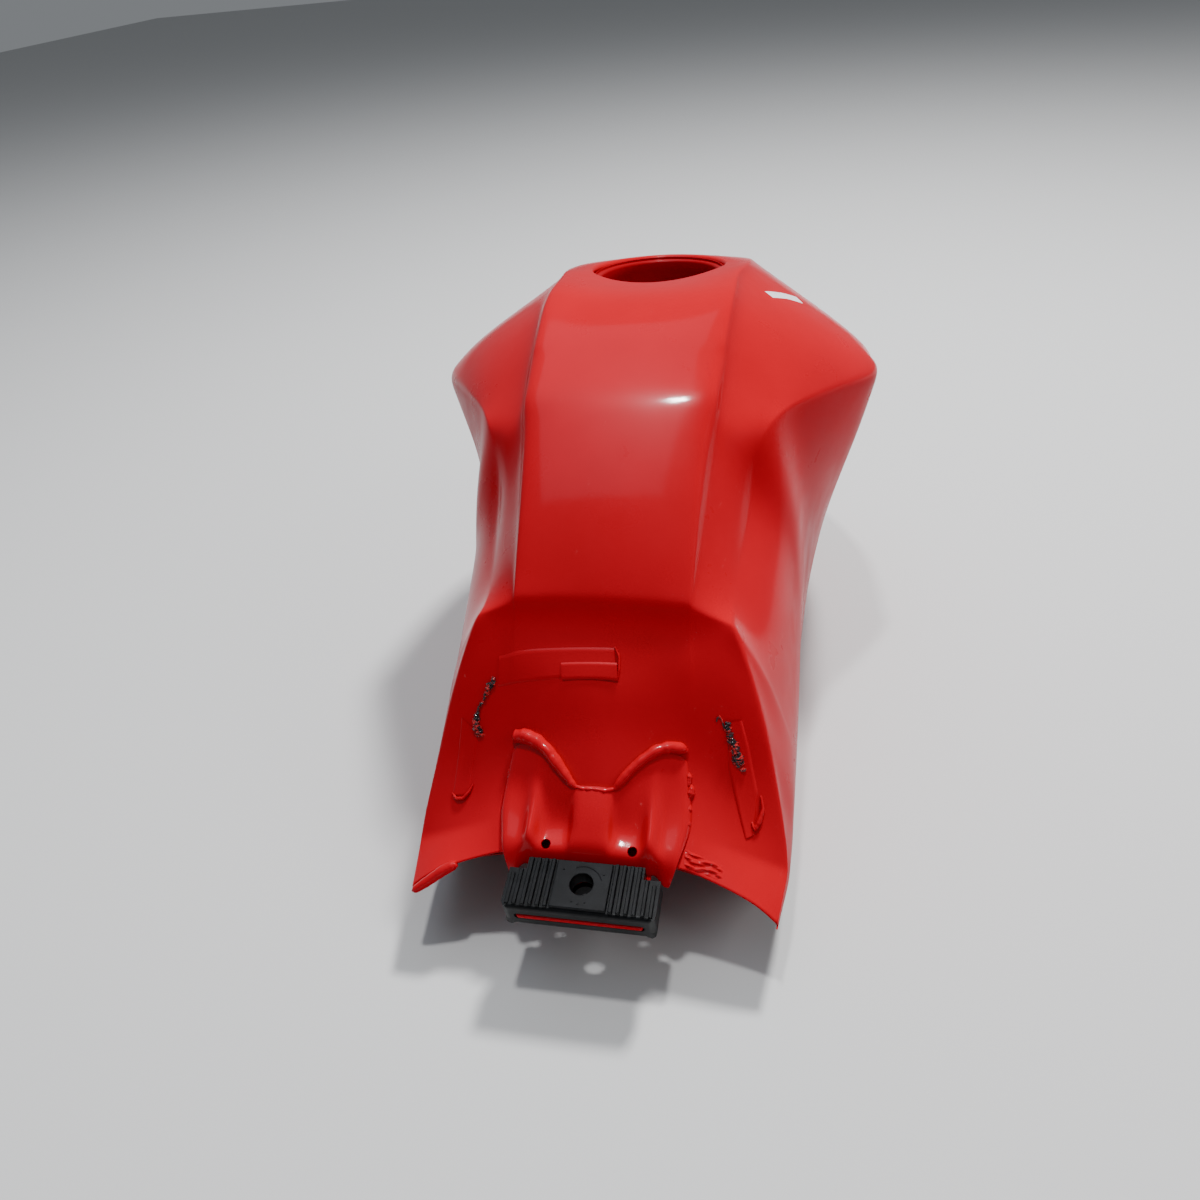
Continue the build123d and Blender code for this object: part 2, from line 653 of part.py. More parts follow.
with BuildPart() as cock_bolts:
    with BuildSketch(Plane.XY.offset(cock_under - COCK_FLANGE_T)):
        with Locations(*COCK_BOLTS):
            RegularPolygon(5, 6)
    extrude(amount=-4)
    with BuildSketch(Plane.XY.offset(cock_under - COCK_FLANGE_T)):
        with Locations(*COCK_BOLTS):
            Circle(3)
    extrude(amount=17)
save(cock_bolts.part, "cock_bolts")

STANDPIPE_TOP = PAN_Z + 44
with BuildPart() as cock_standpipe:
    # main feed; its side hole near the pan is the reserve inlet
    with BuildSketch(Plane.XY.offset(cock_under - STANDPIPE_SEAT)):
        with Locations(COCK_SPOT):
            Circle(STANDPIPE_R)
            Circle(STANDPIPE_R - 1, mode=Mode.SUBTRACT)
    extrude(amount=STANDPIPE_TOP - cock_under + STANDPIPE_SEAT)
    with BuildSketch(Plane.XZ.offset(-COCK_Y + 4)):
        with Locations((COCK_X, PAN_Z + 7)):
            Circle(1.2)
    extrude(amount=-8, mode=Mode.SUBTRACT)
save(cock_standpipe.part, "cock_standpipe")

with BuildPart() as cock_strainer:
    # fine mesh sleeve with moulded ribs and a closed top
    with BuildSketch(Plane.XY.offset(PAN_Z + 0.2)):
        with Locations(COCK_SPOT):
            Circle(8)
            Circle(7.2, mode=Mode.SUBTRACT)
    extrude(amount=STANDPIPE_TOP - PAN_Z + 5)
    with BuildSketch(Plane.XY.offset(STANDPIPE_TOP + 5.2)):
        with Locations(COCK_SPOT):
            Circle(8)
    extrude(amount=1.2)
save(cock_strainer.part, "cock_strainer")

# ---------------------------------------------------------------- fuel level sender
SENDER_R = 25
SENDER_PLATE_T = 2
STUD_R = 2.5
sender_under = PAN_UNDER - GASKET_T


with BuildPart() as sender_gasket:
    with BuildSketch(Plane.XY.offset(sender_under)):
        with Locations(SENDER_SPOT):
            Circle(SENDER_R)
            Circle(SENDER_PORT_R - 0.5, mode=Mode.SUBTRACT)
            with at_studs():
                Circle(STUD_CLEARANCE_R, mode=Mode.SUBTRACT)
    extrude(amount=GASKET_T)
save(sender_gasket.part, "sender_gasket")

with BuildPart() as sender_plate:
    with BuildSketch(Plane.XY.offset(sender_under - SENDER_PLATE_T)):
        with Locations(SENDER_SPOT):
            Circle(SENDER_R)
            with at_studs():
                Circle(STUD_CLEARANCE_R, mode=Mode.SUBTRACT)
    extrude(amount=2)
    # socket for the gauge lead
    with BuildSketch(Plane.XY.offset(sender_under - SENDER_PLATE_T)):
        with Locations(SENDER_SPOT):
            RectangleRounded(16, 11, 2)
    extrude(amount=-10)
    with BuildSketch(Plane.XY.offset(sender_under - 12)):
        with Locations(SENDER_SPOT):
            RectangleRounded(13, 8, 1)
    extrude(amount=8, mode=Mode.SUBTRACT)
save(sender_plate.part, "sender_plate")

with BuildPart() as sender_studs:
    with BuildSketch(Plane.XY.offset(PAN_Z)):
        with Locations(SENDER_SPOT):
            with at_studs():
                Circle(4)
    extrude(amount=1.5)
    with BuildSketch(Plane.XY.offset(PAN_Z)):
        with Locations(SENDER_SPOT):
            with at_studs():
                Circle(STUD_R)
    extrude(amount=-12)
save(sender_studs.part, "sender_studs")

with BuildPart() as sender_nuts:
    with BuildSketch(Plane.XY.offset(sender_under - SENDER_PLATE_T)):
        with Locations(SENDER_SPOT):
            with at_studs():
                RegularPolygon(4.5, 6)
                Circle(STUD_R, mode=Mode.SUBTRACT)
    extrude(amount=-4)
save(sender_nuts.part, "sender_nuts")

PIVOT_R = 2
strip_x = SENDER_X - 8
with BuildPart() as sender_stem:
    # upright strip with the resistance card's housing and the float arm's pivot hole
    with BuildSketch(Plane.YZ.offset(strip_x)):
        with Locations((SENDER_Y, (sender_under + FLOAT_PIVOT_Z) / 2)):
            Rectangle(12, FLOAT_PIVOT_Z - sender_under)
        with Locations((SENDER_Y, FLOAT_PIVOT_Z)):
            Circle(6)
    extrude(amount=-2)
    with BuildSketch(Plane.YZ.offset(strip_x - 2)):
        with Locations((SENDER_Y, FLOAT_PIVOT_Z + 3)):
            RectangleRounded(30, 24, 3)
    extrude(amount=-5)
    with BuildSketch(Plane.YZ.offset(strip_x + 1)):
        with Locations((SENDER_Y, FLOAT_PIVOT_Z)):
            Circle(PIVOT_R + 0.05)
    extrude(amount=-9, mode=Mode.SUBTRACT)
save(sender_stem.part, "sender_stem")

FLOAT_R = 11
FLOAT_LENGTH = 34
ARM_X = strip_x + 2.5
arm_dir = Vector(0, cos(radians(FLOAT_REST)), -sin(radians(FLOAT_REST)))
pivot = Vector(ARM_X, SENDER_Y, FLOAT_PIVOT_Z)
float_centre = pivot + arm_dir * FLOAT_REACH
with BuildPart() as float_arm:
    # bent wire: pivot pin, arm, and the pin that holds the float
    with BuildSketch(Plane.YZ.offset(ARM_X + ARM_WIRE / 2)):
        with Locations((SENDER_Y, FLOAT_PIVOT_Z)):
            Circle(PIVOT_R)
    extrude(amount=-10)
    with BuildSketch(Plane(origin=pivot, x_dir=(1, 0, 0), z_dir=arm_dir)):
        Circle(ARM_WIRE / 2)
    extrude(amount=FLOAT_REACH)
    with BuildSketch(Plane.YZ.offset(ARM_X - ARM_WIRE / 2)):
        with Locations((float_centre.Y, float_centre.Z)):
            Circle(ARM_WIRE / 2)
    extrude(amount=22)
save(float_arm.part, "float_arm")

with BuildPart() as sender_float:
    with BuildSketch(Plane.YZ.offset(ARM_X + ARM_WIRE / 2 + 0.5)):
        with Locations((float_centre.Y, float_centre.Z)):
            Circle(FLOAT_R)
    extrude(amount=FLOAT_LENGTH - 8)
    fillet(sender_float.edges().filter_by(GeomType.CIRCLE), radius=2)
    with BuildSketch(Plane.YZ.offset(ARM_X)):
        with Locations((float_centre.Y, float_centre.Z)):
            Circle(ARM_WIRE / 2)
    extrude(amount=ARM_WIRE / 2 + 20, mode=Mode.SUBTRACT)
save(sender_float.part, "sender_float")
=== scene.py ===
import math
import random

import bmesh
import bpy
from mathutils import Matrix, Vector
from mathutils.bvhtree import BVHTree


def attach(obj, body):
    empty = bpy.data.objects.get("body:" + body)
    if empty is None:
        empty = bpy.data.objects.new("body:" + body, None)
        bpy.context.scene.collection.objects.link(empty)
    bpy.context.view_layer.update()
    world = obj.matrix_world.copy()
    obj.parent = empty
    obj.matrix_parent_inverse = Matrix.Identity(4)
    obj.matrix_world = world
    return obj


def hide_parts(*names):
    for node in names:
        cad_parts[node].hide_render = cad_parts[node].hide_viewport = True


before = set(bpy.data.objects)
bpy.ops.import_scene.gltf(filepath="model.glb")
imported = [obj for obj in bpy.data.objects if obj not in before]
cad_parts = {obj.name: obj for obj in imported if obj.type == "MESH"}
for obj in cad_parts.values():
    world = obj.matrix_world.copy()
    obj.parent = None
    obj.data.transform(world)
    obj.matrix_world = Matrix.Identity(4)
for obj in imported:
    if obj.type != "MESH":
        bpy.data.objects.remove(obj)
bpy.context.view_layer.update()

MM = 0.001
TANK = "tank"

# ---------------------------------------------------------------- the skin's lines, in millimetres
# Right half, front to back: y, then (x, z) of the top centre, the centre panel's crease, the
# valley beside it, the shoulder, the knee-recess edge, three points down the flank and the edge.
SKIN_LINES = (
    (295, (0, 236), (40, 234), (55, 226), (72, 205), (86, 172),
     (86, 155), (82, 140), (76, 128), (66, 116)),
    (284, (0, 250), (50, 247), (66, 238), (88, 212), (106, 172),
     (105, 147), (99, 122), (90, 98), (78, 80)),
    (255, (0, 271), (56, 267), (73, 256), (104, 224), (128, 180),
     (127, 145), (120, 105), (107, 70), (90, 42)),
    (215, (0, 291), (60, 285), (77, 272), (116, 238), (146, 196),
     (143, 155), (132, 105), (118, 55), (103, 14)),
    (181, (0, 305), (64, 300), (81, 289), (124, 254), (157, 214),
     (153, 165), (138, 110), (123, 50), (112, 2)),
    (130, (0, 311), (67, 312), (83, 301), (134, 267), (164, 233),
     (156, 180), (138, 115), (124, 45), (115, 0)),
    (100, (0, 313), (65, 318), (81, 306), (134, 273), (166, 241),
     (155, 185), (136, 115), (124, 45), (116, 0)),
    (74, (0, 316), (63, 321), (79, 308), (132, 276), (165, 243),
     (154, 190), (134, 120), (123, 50), (116, 0)),
    (38, (0, 320), (63.5, 321), (78, 306), (120, 278), (145, 251),
     (141, 200), (129, 130), (122, 60), (116, 0)),
    (3, (0, 315), (62, 311.5), (75, 297), (107, 275), (124, 257),
     (126, 205), (124, 140), (121, 70), (116, 0)),
    (-23, (0, 306), (60, 302), (72, 287), (97, 270), (108, 260),
     (117, 205), (121, 145), (120, 75), (116, 0)),
    (-48, (0, 295.5), (58.5, 292), (68, 278), (86, 265), (96, 257),
     (112, 210), (119, 150), (120, 80), (116, 0)),
    (-64, (0, 287), (57, 284), (66, 270), (80, 256), (88.5, 238),
     (109, 195), (118, 140), (120, 80), (116, 0)),
    (-80, (0, 276), (54, 272), (63, 258), (77, 237), (86, 215),
     (108, 180), (117, 130), (120.5, 75), (117, 0)),
    (-110, (0, 252.5), (52, 247), (60, 236), (74, 213), (83, 198),
     (106, 165), (116, 122), (121, 72), (117, 0)),
    (-140, (0, 224), (51, 219), (58, 212), (72, 195), (81, 185),
     (103, 153), (115, 113), (121, 70), (118, 1)),
    (-160, (0, 200), (50, 198), (57, 195), (71, 188), (82, 182),
     (101, 148), (114, 108), (121, 68), (118, 3)),
    (-166, (0, 184), (50, 182), (57, 181), (71, 178), (85, 175),
     (101, 146), (114, 107), (121, 66), (118, 4)),
    (-178, (0, 168), (50, 165), (60, 162), (80, 157), (95, 150),
     (105, 126), (115, 98), (121, 63), (118, 6)),
    (-192, (0, 152), (50, 141), (62, 137), (85, 130), (103, 123),
     (110, 106), (116, 86), (121, 56), (118, 9)),
    (-207, (0, 130), (50, 114), (65, 109), (90, 102), (110, 96),
     (114, 82), (118, 66), (121, 46), (118, 15)),
    (-225, (0, 106), (50, 94), (67, 89), (95, 78), (116, 71),
     (118, 62), (120, 52), (120, 40), (118, 24)),
    (-240, (0, 84), (50, 82), (67, 78), (95, 66), (118, 55),
     (118.5, 51), (119, 46), (119, 40), (117, 34)),
)
# x, y of the rear edge, then (x, z) of its line and of the opening at the nose
REAR_EDGE = ((0, -256), (55, -257), (82, -260), (98, -266), (112, -271.5), (120, -272))
REAR_LINE = (
    (0, 74), (50, 71.5), (67, 68), (97, 59.5), (114, 48.5), (114.4, 47.8), (114.8, 47), (115, 46), (115, 45),
)
NOSE_OPENING = (
    (0, 182), (36, 182), (41, 172), (45, 155), (50, 130), (54, 127), (58, 123), (62, 119), (65, 116),
)
CREASE, EDGE = 1, 4  # columns of the lines
HUMP_Y, FLANGE_Y = -160, -240  # rows where the surface folds
SHEET = 1.0

CAP_CENTRE = Vector((0, 130, 310))
CAP_LEAN = math.radians(5)
CUP_R = 51


# ---------------------------------------------------------------- helpers
def along(table, x):
    """Straight interpolation in a table of (x, value)."""
    for (ax, av), (bx, bv) in zip(table, table[1:]):
        if ax <= x <= bx:
            return av + (bv - av) * (x - ax) / (bx - ax)
    raise ValueError(f"{x} is outside the table")


def link(name, mesh):
    piece = bpy.data.objects.new(name, mesh)
    bpy.context.scene.collection.objects.link(piece)
    return piece


def mesh_piece(name, points, faces, smooth=True):
    """Mesh object from points in millimetres."""
    mesh = bpy.data.meshes.new(name)
    mesh.from_pydata([Vector(p) * MM for p in points], [], faces)
    mesh.polygons.foreach_set("use_smooth", [smooth] * len(mesh.polygons))
    mesh.update()
    return link(name, mesh)


def grid_faces(rows, columns, wrap=False):
    """Quads of a grid stored row by row; wrap joins the last column to the first."""
    faces = []
    last = columns if wrap else columns - 1
    for r in range(rows - 1):
        for c in range(last):
            n = (c + 1) % columns
            faces.append((r * columns + c, r * columns + n, (r + 1) * columns + n, (r + 1) * columns + c))
    return faces


def set_creases(piece, wanted):
    """wanted maps a pair of vertex numbers to a crease weight."""
    layer = piece.data.attributes.new("crease_edge", "FLOAT", "EDGE")
    for edge in piece.data.edges:
        weight = wanted.get(tuple(sorted(edge.vertices)), 0)
        layer.data[edge.index].value = weight


def bake(piece):
    """Applies the piece's modifiers."""
    graph = bpy.context.evaluated_depsgraph_get()
    mesh = bpy.data.meshes.new_from_object(piece.evaluated_get(graph))
    piece.modifiers.clear()
    piece.data = mesh
    return piece


def subdivide(piece, levels):
    modifier = piece.modifiers.new("subdivide", "SUBSURF")
    modifier.levels = modifier.render_levels = levels
    return bake(piece)


def thicken(piece, thickness, side):
    modifier = piece.modifiers.new("thicken", "SOLIDIFY")
    modifier.thickness = thickness * MM
    modifier.offset = side
    return bake(piece)


def bevel(piece, width, segments=3, angle=35):
    modifier = piece.modifiers.new("bevel", "BEVEL")
    modifier.width = width * MM
    modifier.segments = segments
    modifier.limit_method = "ANGLE"
    modifier.angle_limit = math.radians(angle)
    return bake(piece)


def cut(piece, cutter):
    """Takes the cutter's shape away and deletes the cutter."""
    modifier = piece.modifiers.new("cut", "BOOLEAN")
    modifier.operation = "DIFFERENCE"
    modifier.solver = "EXACT"
    modifier.object = cutter
    bake(piece)
    bpy.data.objects.remove(cutter)
    return piece


def rod(name, start, end, radius, sides=48):
    """Closed cylinder between two points in millimetres."""
    start, end = Vector(start), Vector(end)
    turn = (end - start).to_track_quat("Z", "Y")
    rings = []
    for centre in (start, end):
        for step in range(sides):
            angle = 2 * math.pi * step / sides
            rings.append(centre + turn @ Vector((math.cos(angle), math.sin(angle), 0)) * radius)
    faces = [(s, (s + 1) % sides, sides + (s + 1) % sides, sides + s) for s in range(sides)]
    faces += [tuple(reversed(range(sides))), tuple(range(sides, 2 * sides))]
    return mesh_piece(name, rings, faces, smooth=False)


def join(name, pieces):
    """One object from several."""
    graph = bmesh.new()
    for piece in pieces:
        graph.from_mesh(piece.data)
        bpy.data.objects.remove(piece)
    mesh = bpy.data.meshes.new(name)
    graph.to_mesh(mesh)
    graph.free()
    return link(name, mesh)


def finish_piece(piece, material, replaces=()):
    """Material and body of a finished piece; hides the CAD parts it replaces."""
    piece.data.materials.clear()
    piece.data.materials.append(material)
    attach(piece, TANK)
    if replaces:
        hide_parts(*replaces)
    return piece


# ---------------------------------------------------------------- materials
class Nodes:
    """Short calls for building one material's nodes."""

    def __init__(self, name):
        self.material = bpy.data.materials.new(name)
        self.material.use_nodes = True
        self.tree = self.material.node_tree
        self.shader = self.tree.nodes["Principled BSDF"]
        coordinates = self.add("ShaderNodeTexCoord")
        self.place = coordinates.outputs["Object"]
        self.normal = coordinates.outputs["Normal"]

    def add(self, kind, **values):
        node = self.tree.nodes.new(kind)
        for key, value in values.items():
            if hasattr(node, key) and key not in node.inputs:
                setattr(node, key, value)
            else:
                node.inputs[key].default_value = value
        return node

    def link(self, output, target):
        self.tree.links.new(output, target)

    def noise(self, scale, detail=4, roughness=0.55, stretch=None):
        node = self.add("ShaderNodeTexNoise", Scale=scale, Detail=detail, Roughness=roughness)
        source = self.place
        if stretch:
            mapping = self.add("ShaderNodeMapping", Scale=stretch)
            self.link(source, mapping.inputs["Vector"])
            source = mapping.outputs["Vector"]
        self.link(source, node.inputs["Vector"])
        return node.outputs["Fac"]

    def ramp(self, source, stops):
        node = self.add("ShaderNodeValToRGB")
        ramp = node.color_ramp
        for index, (position, color) in enumerate(stops):
            stop = ramp.elements[index] if index < 2 else ramp.elements.new(position)
            stop.position = position
            stop.color = (*color, 1) if len(color) == 3 else color
        self.link(source, node.inputs["Fac"])
        return node.outputs["Color"]

    def level(self, source, low, high, out_low=0.0, out_high=1.0):
        node = self.add("ShaderNodeMapRange")
        for key, value in (("From Min", low), ("From Max", high), ("To Min", out_low), ("To Max", out_high)):
            node.inputs[key].default_value = value
        self.link(source, node.inputs["Value"])
        return node.outputs["Result"]

    def math(self, kind, first, second=None):
        node = self.add("ShaderNodeMath", operation=kind)
        for index, value in enumerate((first, second)):
            if value is None:
                continue
            if isinstance(value, (int, float)):
                node.inputs[index].default_value = value
            else:
                self.link(value, node.inputs[index])
        return node.outputs["Value"]

    def mix(self, share, first, second):
        node = self.add("ShaderNodeMix", data_type="RGBA")
        self.link(share, node.inputs["Factor"])
        for key, value in (("A", first), ("B", second)):
            socket = [s for s in node.inputs if s.name == key and s.type == "RGBA"][0]
            if isinstance(value, tuple):
                socket.default_value = (*value, 1)
            else:
                self.link(value, socket)
        return [s for s in node.outputs if s.type == "RGBA"][0]

    def bump(self, height, strength, distance):
        node = self.add("ShaderNodeBump", Strength=strength, Distance=distance)
        self.link(height, node.inputs["Height"])
        self.link(node.outputs["Normal"], self.shader.inputs["Normal"])

    def set(self, **values):
        for key, value in values.items():
            self.shader.inputs[key.replace("_", " ")].default_value = value

    def drive(self, socket, source):
        self.link(source, self.shader.inputs[socket])


def red_paint(name, wear=0.0, coat=1.0, dark=1.0):
    """Glossy red paint: fine orange peel, a little dust, faint streaks and, with wear, scuffs. A dark below
    1 scales the whole colour down as painted shade.
    """
    n = Nodes(name)
    # dark below 1 darkens base and deep red alike: painted shade for parts in the recess or under the tank
    base = tuple(c * dark for c in (0.44, 0.0, 0.008))
    deep = tuple(c * dark for c in (0.38, 0.0, 0.006))
    color = n.mix(n.level(n.noise(9, 5), 0.3, 0.7), base, deep)
    dust = n.level(n.noise(900, 2, 0.7), 0.72, 0.8)
    patches = n.level(n.noise(30, 4), 0.52, 0.72)
    color = n.mix(n.math("MULTIPLY", n.math("MULTIPLY", dust, patches), 0.35), color, (0.75, 0.35, 0.33))
    scuff = n.level(n.noise(140, 8, 0.75, stretch=(1, 0.16, 1)), 0.63, 0.7)
    areas = n.level(n.noise(14, 3), 0.5, 0.62)
    where = n.add("ShaderNodeSeparateXYZ")
    n.link(n.place, where.inputs[0])
    outer = n.level(where.outputs["X"], 0.108, 0.118, 0.0, 0.6)  # the rider's right knee has rubbed here
    knee = n.math("MULTIPLY", outer, n.level(where.outputs["Y"], -0.06, -0.15))
    scuff = n.math("MULTIPLY", scuff, n.math("MAXIMUM", n.math("MULTIPLY", areas, wear), knee))
    color = n.mix(scuff, color, (0.55, 0.08, 0.08))
    n.drive("Base Color", color)
    rough = n.level(n.noise(22, 6), 0.3, 0.75, 0.24, 0.42)
    n.drive("Roughness", n.math("ADD", rough, n.math("MULTIPLY", scuff, 0.35)))
    n.set(Coat_Roughness=0.09)
    facing = n.add("ShaderNodeSeparateXYZ")
    n.link(n.normal, facing.inputs[0])
    steep = n.level(facing.outputs["Z"], 0.15, 0.6, 0.15, 1.0)  # duller on the steep faces
    n.drive("Coat Weight", n.math("MULTIPLY", steep, coat * 0.4))
    n.drive("Specular IOR Level", n.math("MULTIPLY", steep, 0.1))
    peel = n.noise(420, 2, 0.4)
    waves = n.math("MULTIPLY", n.noise(60, 2), 1.0)
    n.bump(n.math("ADD", n.math("MULTIPLY", peel, 0.35), waves), 0.08, 0.0004)
    return n.material


def rubber(name, shade=0.0022):
    """Moulded black rubber with a faint grey bloom and dust."""
    n = Nodes(name)
    bloom = n.level(n.noise(55, 6, 0.65), 0.45, 0.75)
    specks = n.level(n.noise(1300, 2, 0.8), 0.7, 0.78)
    color = n.mix(n.math("MULTIPLY", bloom, 0.6), (shade, shade * 1.05, shade * 1.2), (0.008, 0.009, 0.011))
    color = n.mix(n.math("MULTIPLY", specks, 0.25), color, (0.18, 0.18, 0.17))
    n.drive("Base Color", color)
    n.set(Specular_IOR_Level=0.16)
    n.drive("Roughness", n.level(n.noise(80, 5), 0.3, 0.7, 0.28, 0.48))
    n.bump(n.noise(700, 4, 0.6), 0.25, 0.0002)
    return n.material


def metal(name, color, rough, metallic=1.0, stain=(0.25, 0.18, 0.12), stain_share=0.35, grain=260):
    """Plated or cast metal with uneven stains."""
    n = Nodes(name)
    mask = n.math("MULTIPLY", n.level(n.noise(40, 6, 0.7), 0.5, 0.7), stain_share)
    n.drive("Base Color", n.mix(mask, color, stain))
    n.drive("Roughness", n.level(n.noise(grain, 5), 0.3, 0.7, rough * 0.75, rough * 1.3))
    n.set(Metallic=metallic)
    n.bump(n.noise(grain * 2, 4, 0.6), 0.2, 0.0002)
    return n.material


def moulded(name, color, rough=0.5, speckle=(0.4, 0.38, 0.35)):
    """Moulded plastic with a fine grain."""
    n = Nodes(name)
    mask = n.math("MULTIPLY", n.level(n.noise(600, 3, 0.7), 0.62, 0.75), 0.25)
    n.drive("Base Color", n.mix(mask, color, speckle))
    n.drive("Roughness", n.level(n.noise(90, 4), 0.3, 0.7, rough * 0.8, rough * 1.25))
    n.bump(n.noise(900, 3, 0.6), 0.15, 0.0002)
    return n.material


PAINT = red_paint("red_paint", wear=0.5)
# the same red paint darkened to 0.6: painted shade for the recess cup, the tunnel plate and the front mounts
PAINT_SHADED_INSIDE = red_paint("red_paint_shaded_inside", wear=0.3, coat=0.5, dark=0.6)
RUBBER = rubber("cushion_rubber")
STEEL = metal("bare_steel", (0.42, 0.40, 0.38), 0.42, stain_share=0.5)
ZINC = metal("zinc_steel", (0.62, 0.61, 0.58), 0.33, stain=(0.4, 0.33, 0.2))
ALLOY = metal("cast_alloy", (0.56, 0.56, 0.57), 0.5, stain=(0.3, 0.29, 0.28), grain=500)
BRASS = metal("brass_tube", (0.72, 0.5, 0.2), 0.3, stain=(0.3, 0.18, 0.08))
GASKET = rubber("gasket_rubber", 0.025)
LEVER_PLASTIC = moulded("lever_plastic", (0.022, 0.022, 0.024))
STRAINER_PLASTIC = moulded("strainer_plastic", (0.78, 0.74, 0.6), 0.45)
FLOAT_PLASTIC = moulded("float_plastic", (0.05, 0.035, 0.025), 0.6)


# ---------------------------------------------------------------- the pressed skin
def skin_cage():
    """Control cage of the whole skin, left edge to right edge, nose to rear edge."""
    nose_y, *nose = SKIN_LINES[0]
    rows = []
    for share in (1.0, 0.5):  # the front wall runs in to the tunnel's opening
        rows.append([
            (x + (tx - x) * share, nose_y, z + (tz - z) * share)
            for (x, z), (tx, tz) in zip(nose, NOSE_OPENING)
        ])
    rows += [[(x, y, z) for x, z in line] for y, *line in SKIN_LINES]
    rows.append([(x, along(REAR_EDGE, x), z) for x, z in REAR_LINE])
    points = []
    for row in rows:
        points += [(-x, y, z) for x, y, z in reversed(row[1:])]
        points += row
    return points, len(rows)


def column_crease(column, y):
    """Crease weight of a line that runs front to back."""
    if column == CREASE:
        return 0.42 if y > 0 else 0.3 if y > -64 else 0.18
    if column == EDGE:
        return 0.25 if y > 110 else 0.45 if y > -170 else 0.4
    return 0


def row_crease(row_y, column):
    """Crease weight of a line that runs across."""
    if row_y == HUMP_Y and column <= EDGE:
        return 0.42
    if row_y == FLANGE_Y and column <= EDGE:
        return 0.45
    return 0


def fit_cage(piece, levels, rounds, share):
    """Moves the cage so that the subdivided surface passes near the cage's first points."""
    wanted = [v.co.copy() for v in piece.data.vertices]
    modifier = piece.modifiers.new("subdivide", "SUBSURF")
    modifier.levels = modifier.render_levels = levels
    for _ in range(rounds):
        graph = bpy.context.evaluated_depsgraph_get()
        graph.update()
        smooth = piece.evaluated_get(graph).data
        moves = [(wanted[i] - smooth.vertices[i].co) * share for i in range(len(wanted))]
        for vertex, move in zip(piece.data.vertices, moves):
            vertex.co += move
        piece.data.update()
    piece.modifiers.clear()


def make_skin():
    points, rows = skin_cage()
    columns = len(points) // rows
    middle = columns // 2
    faces = [tuple(reversed(face)) for face in grid_faces(rows, columns)]
    piece = mesh_piece("tank_skin", points, faces)
    creases = {}
    for r in range(rows):
        for c in range(columns):
            here = r * columns + c
            y = points[here][1]
            if r + 1 < rows and r >= 2:
                creases[(here, here + columns)] = column_crease(abs(c - middle), y)
            if c + 1 < columns:
                reach = max(abs(c - middle), abs(c + 1 - middle))
                creases[(here, here + 1)] = row_crease(points[r * columns + middle][1], reach)
    set_creases(piece, creases)
    fit_cage(piece, 2, 3, 1.0)
    return subdivide(piece, 4)


def cap_frame():
    """Matrix of the cap's plane: Z along its axis."""
    axis = Vector((0, math.sin(CAP_LEAN), math.cos(CAP_LEAN)))
    side = Vector((1, 0, 0))
    turn = Matrix((side, axis.cross(side), axis)).transposed()
    return Matrix.Translation(CAP_CENTRE * MM) @ turn.to_4x4()


# Rounded mouth of the recess: how far in from the skin's hole, and how far down.
MOUTH = ((0.6, 0.1), (1.3, 0.45), (1.9, 1.0), (2.4, 1.8), (2.7, 2.8), (2.8, 4.2))
MOUTH_R = CUP_R + 2.8


def surface_tree(piece):
    mesh = piece.data
    return BVHTree.FromPolygons([v.co for v in mesh.vertices], [p.vertices for p in mesh.polygons])


def open_mouth(piece):
    """Cuts the filler hole and turns its edge down into the recess."""
    frame_of_cap = cap_frame()
    into = frame_of_cap.inverted()
    tree = surface_tree(piece)
    work = bmesh.new()
    work.from_mesh(piece.data)
    reach = MOUTH_R * MM

    def near_mouth(vertex, radius):
        place = into @ vertex.co
        return place.xy.length < radius and place.z > -0.04

    doomed = [f for f in work.faces if any(near_mouth(v, reach) for v in f.verts)]
    bmesh.ops.delete(work, geom=doomed, context="FACES")
    ring = [e for e in work.edges if e.is_boundary and all(near_mouth(v, reach * 1.25) for v in e.verts)]
    down = -(frame_of_cap.to_3x3() @ Vector((0, 0, 1)))
    for vertex in {v for e in ring for v in e.verts}:
        flat = (into @ vertex.co).xy.normalized() * reach
        above = frame_of_cap @ Vector((flat.x, flat.y, 0.05))
        hit = tree.ray_cast(above, down)[0]
        if hit:
            vertex.co = hit
    starts = {v: into @ v.co for e in ring for v in e.verts}
    edges = ring
    origin = {v: v for v in starts}
    for inward, deep in MOUTH:
        grown = bmesh.ops.extrude_edge_only(work, edges=edges)["geom"]
        fresh = [g for g in grown if isinstance(g, bmesh.types.BMVert)]
        edges = [g for g in grown if isinstance(g, bmesh.types.BMEdge)]
        following = {}
        for vertex in fresh:
            old = min(origin, key=lambda o: (o.co - vertex.co).length)
            following[vertex] = origin[old]
        for vertex, root in following.items():
            start = starts[root]
            flat = start.xy.normalized() * (reach - inward * MM)
            vertex.co = frame_of_cap @ Vector((flat.x, flat.y, start.z - deep * MM))
        origin = following
        edges = [e for e in edges if all(v in following for v in e.verts)]
    bmesh.ops.recalc_face_normals(work, faces=work.faces)
    for face in work.faces:
        face.smooth = True
    work.to_mesh(piece.data)
    work.free()
    return piece


class Surface:
    """Points on the finished skin, in millimetres."""

    def __init__(self, piece):
        self.tree = surface_tree(piece)

    def top(self, x, y):
        """The point under (x, y) and the skin's outward normal there."""
        down = Vector((0, 0, -1))
        hit, normal, *_ = self.tree.ray_cast(Vector((x, y, 400)) * MM, down)
        if hit is None:
            raise ValueError(f"no skin under {x}, {y}")
        if normal.dot(down) > 0:
            normal = -normal
        return hit / MM, normal

    def lift(self, x, y, height):
        point, normal = self.top(x, y)
        return point + normal * height


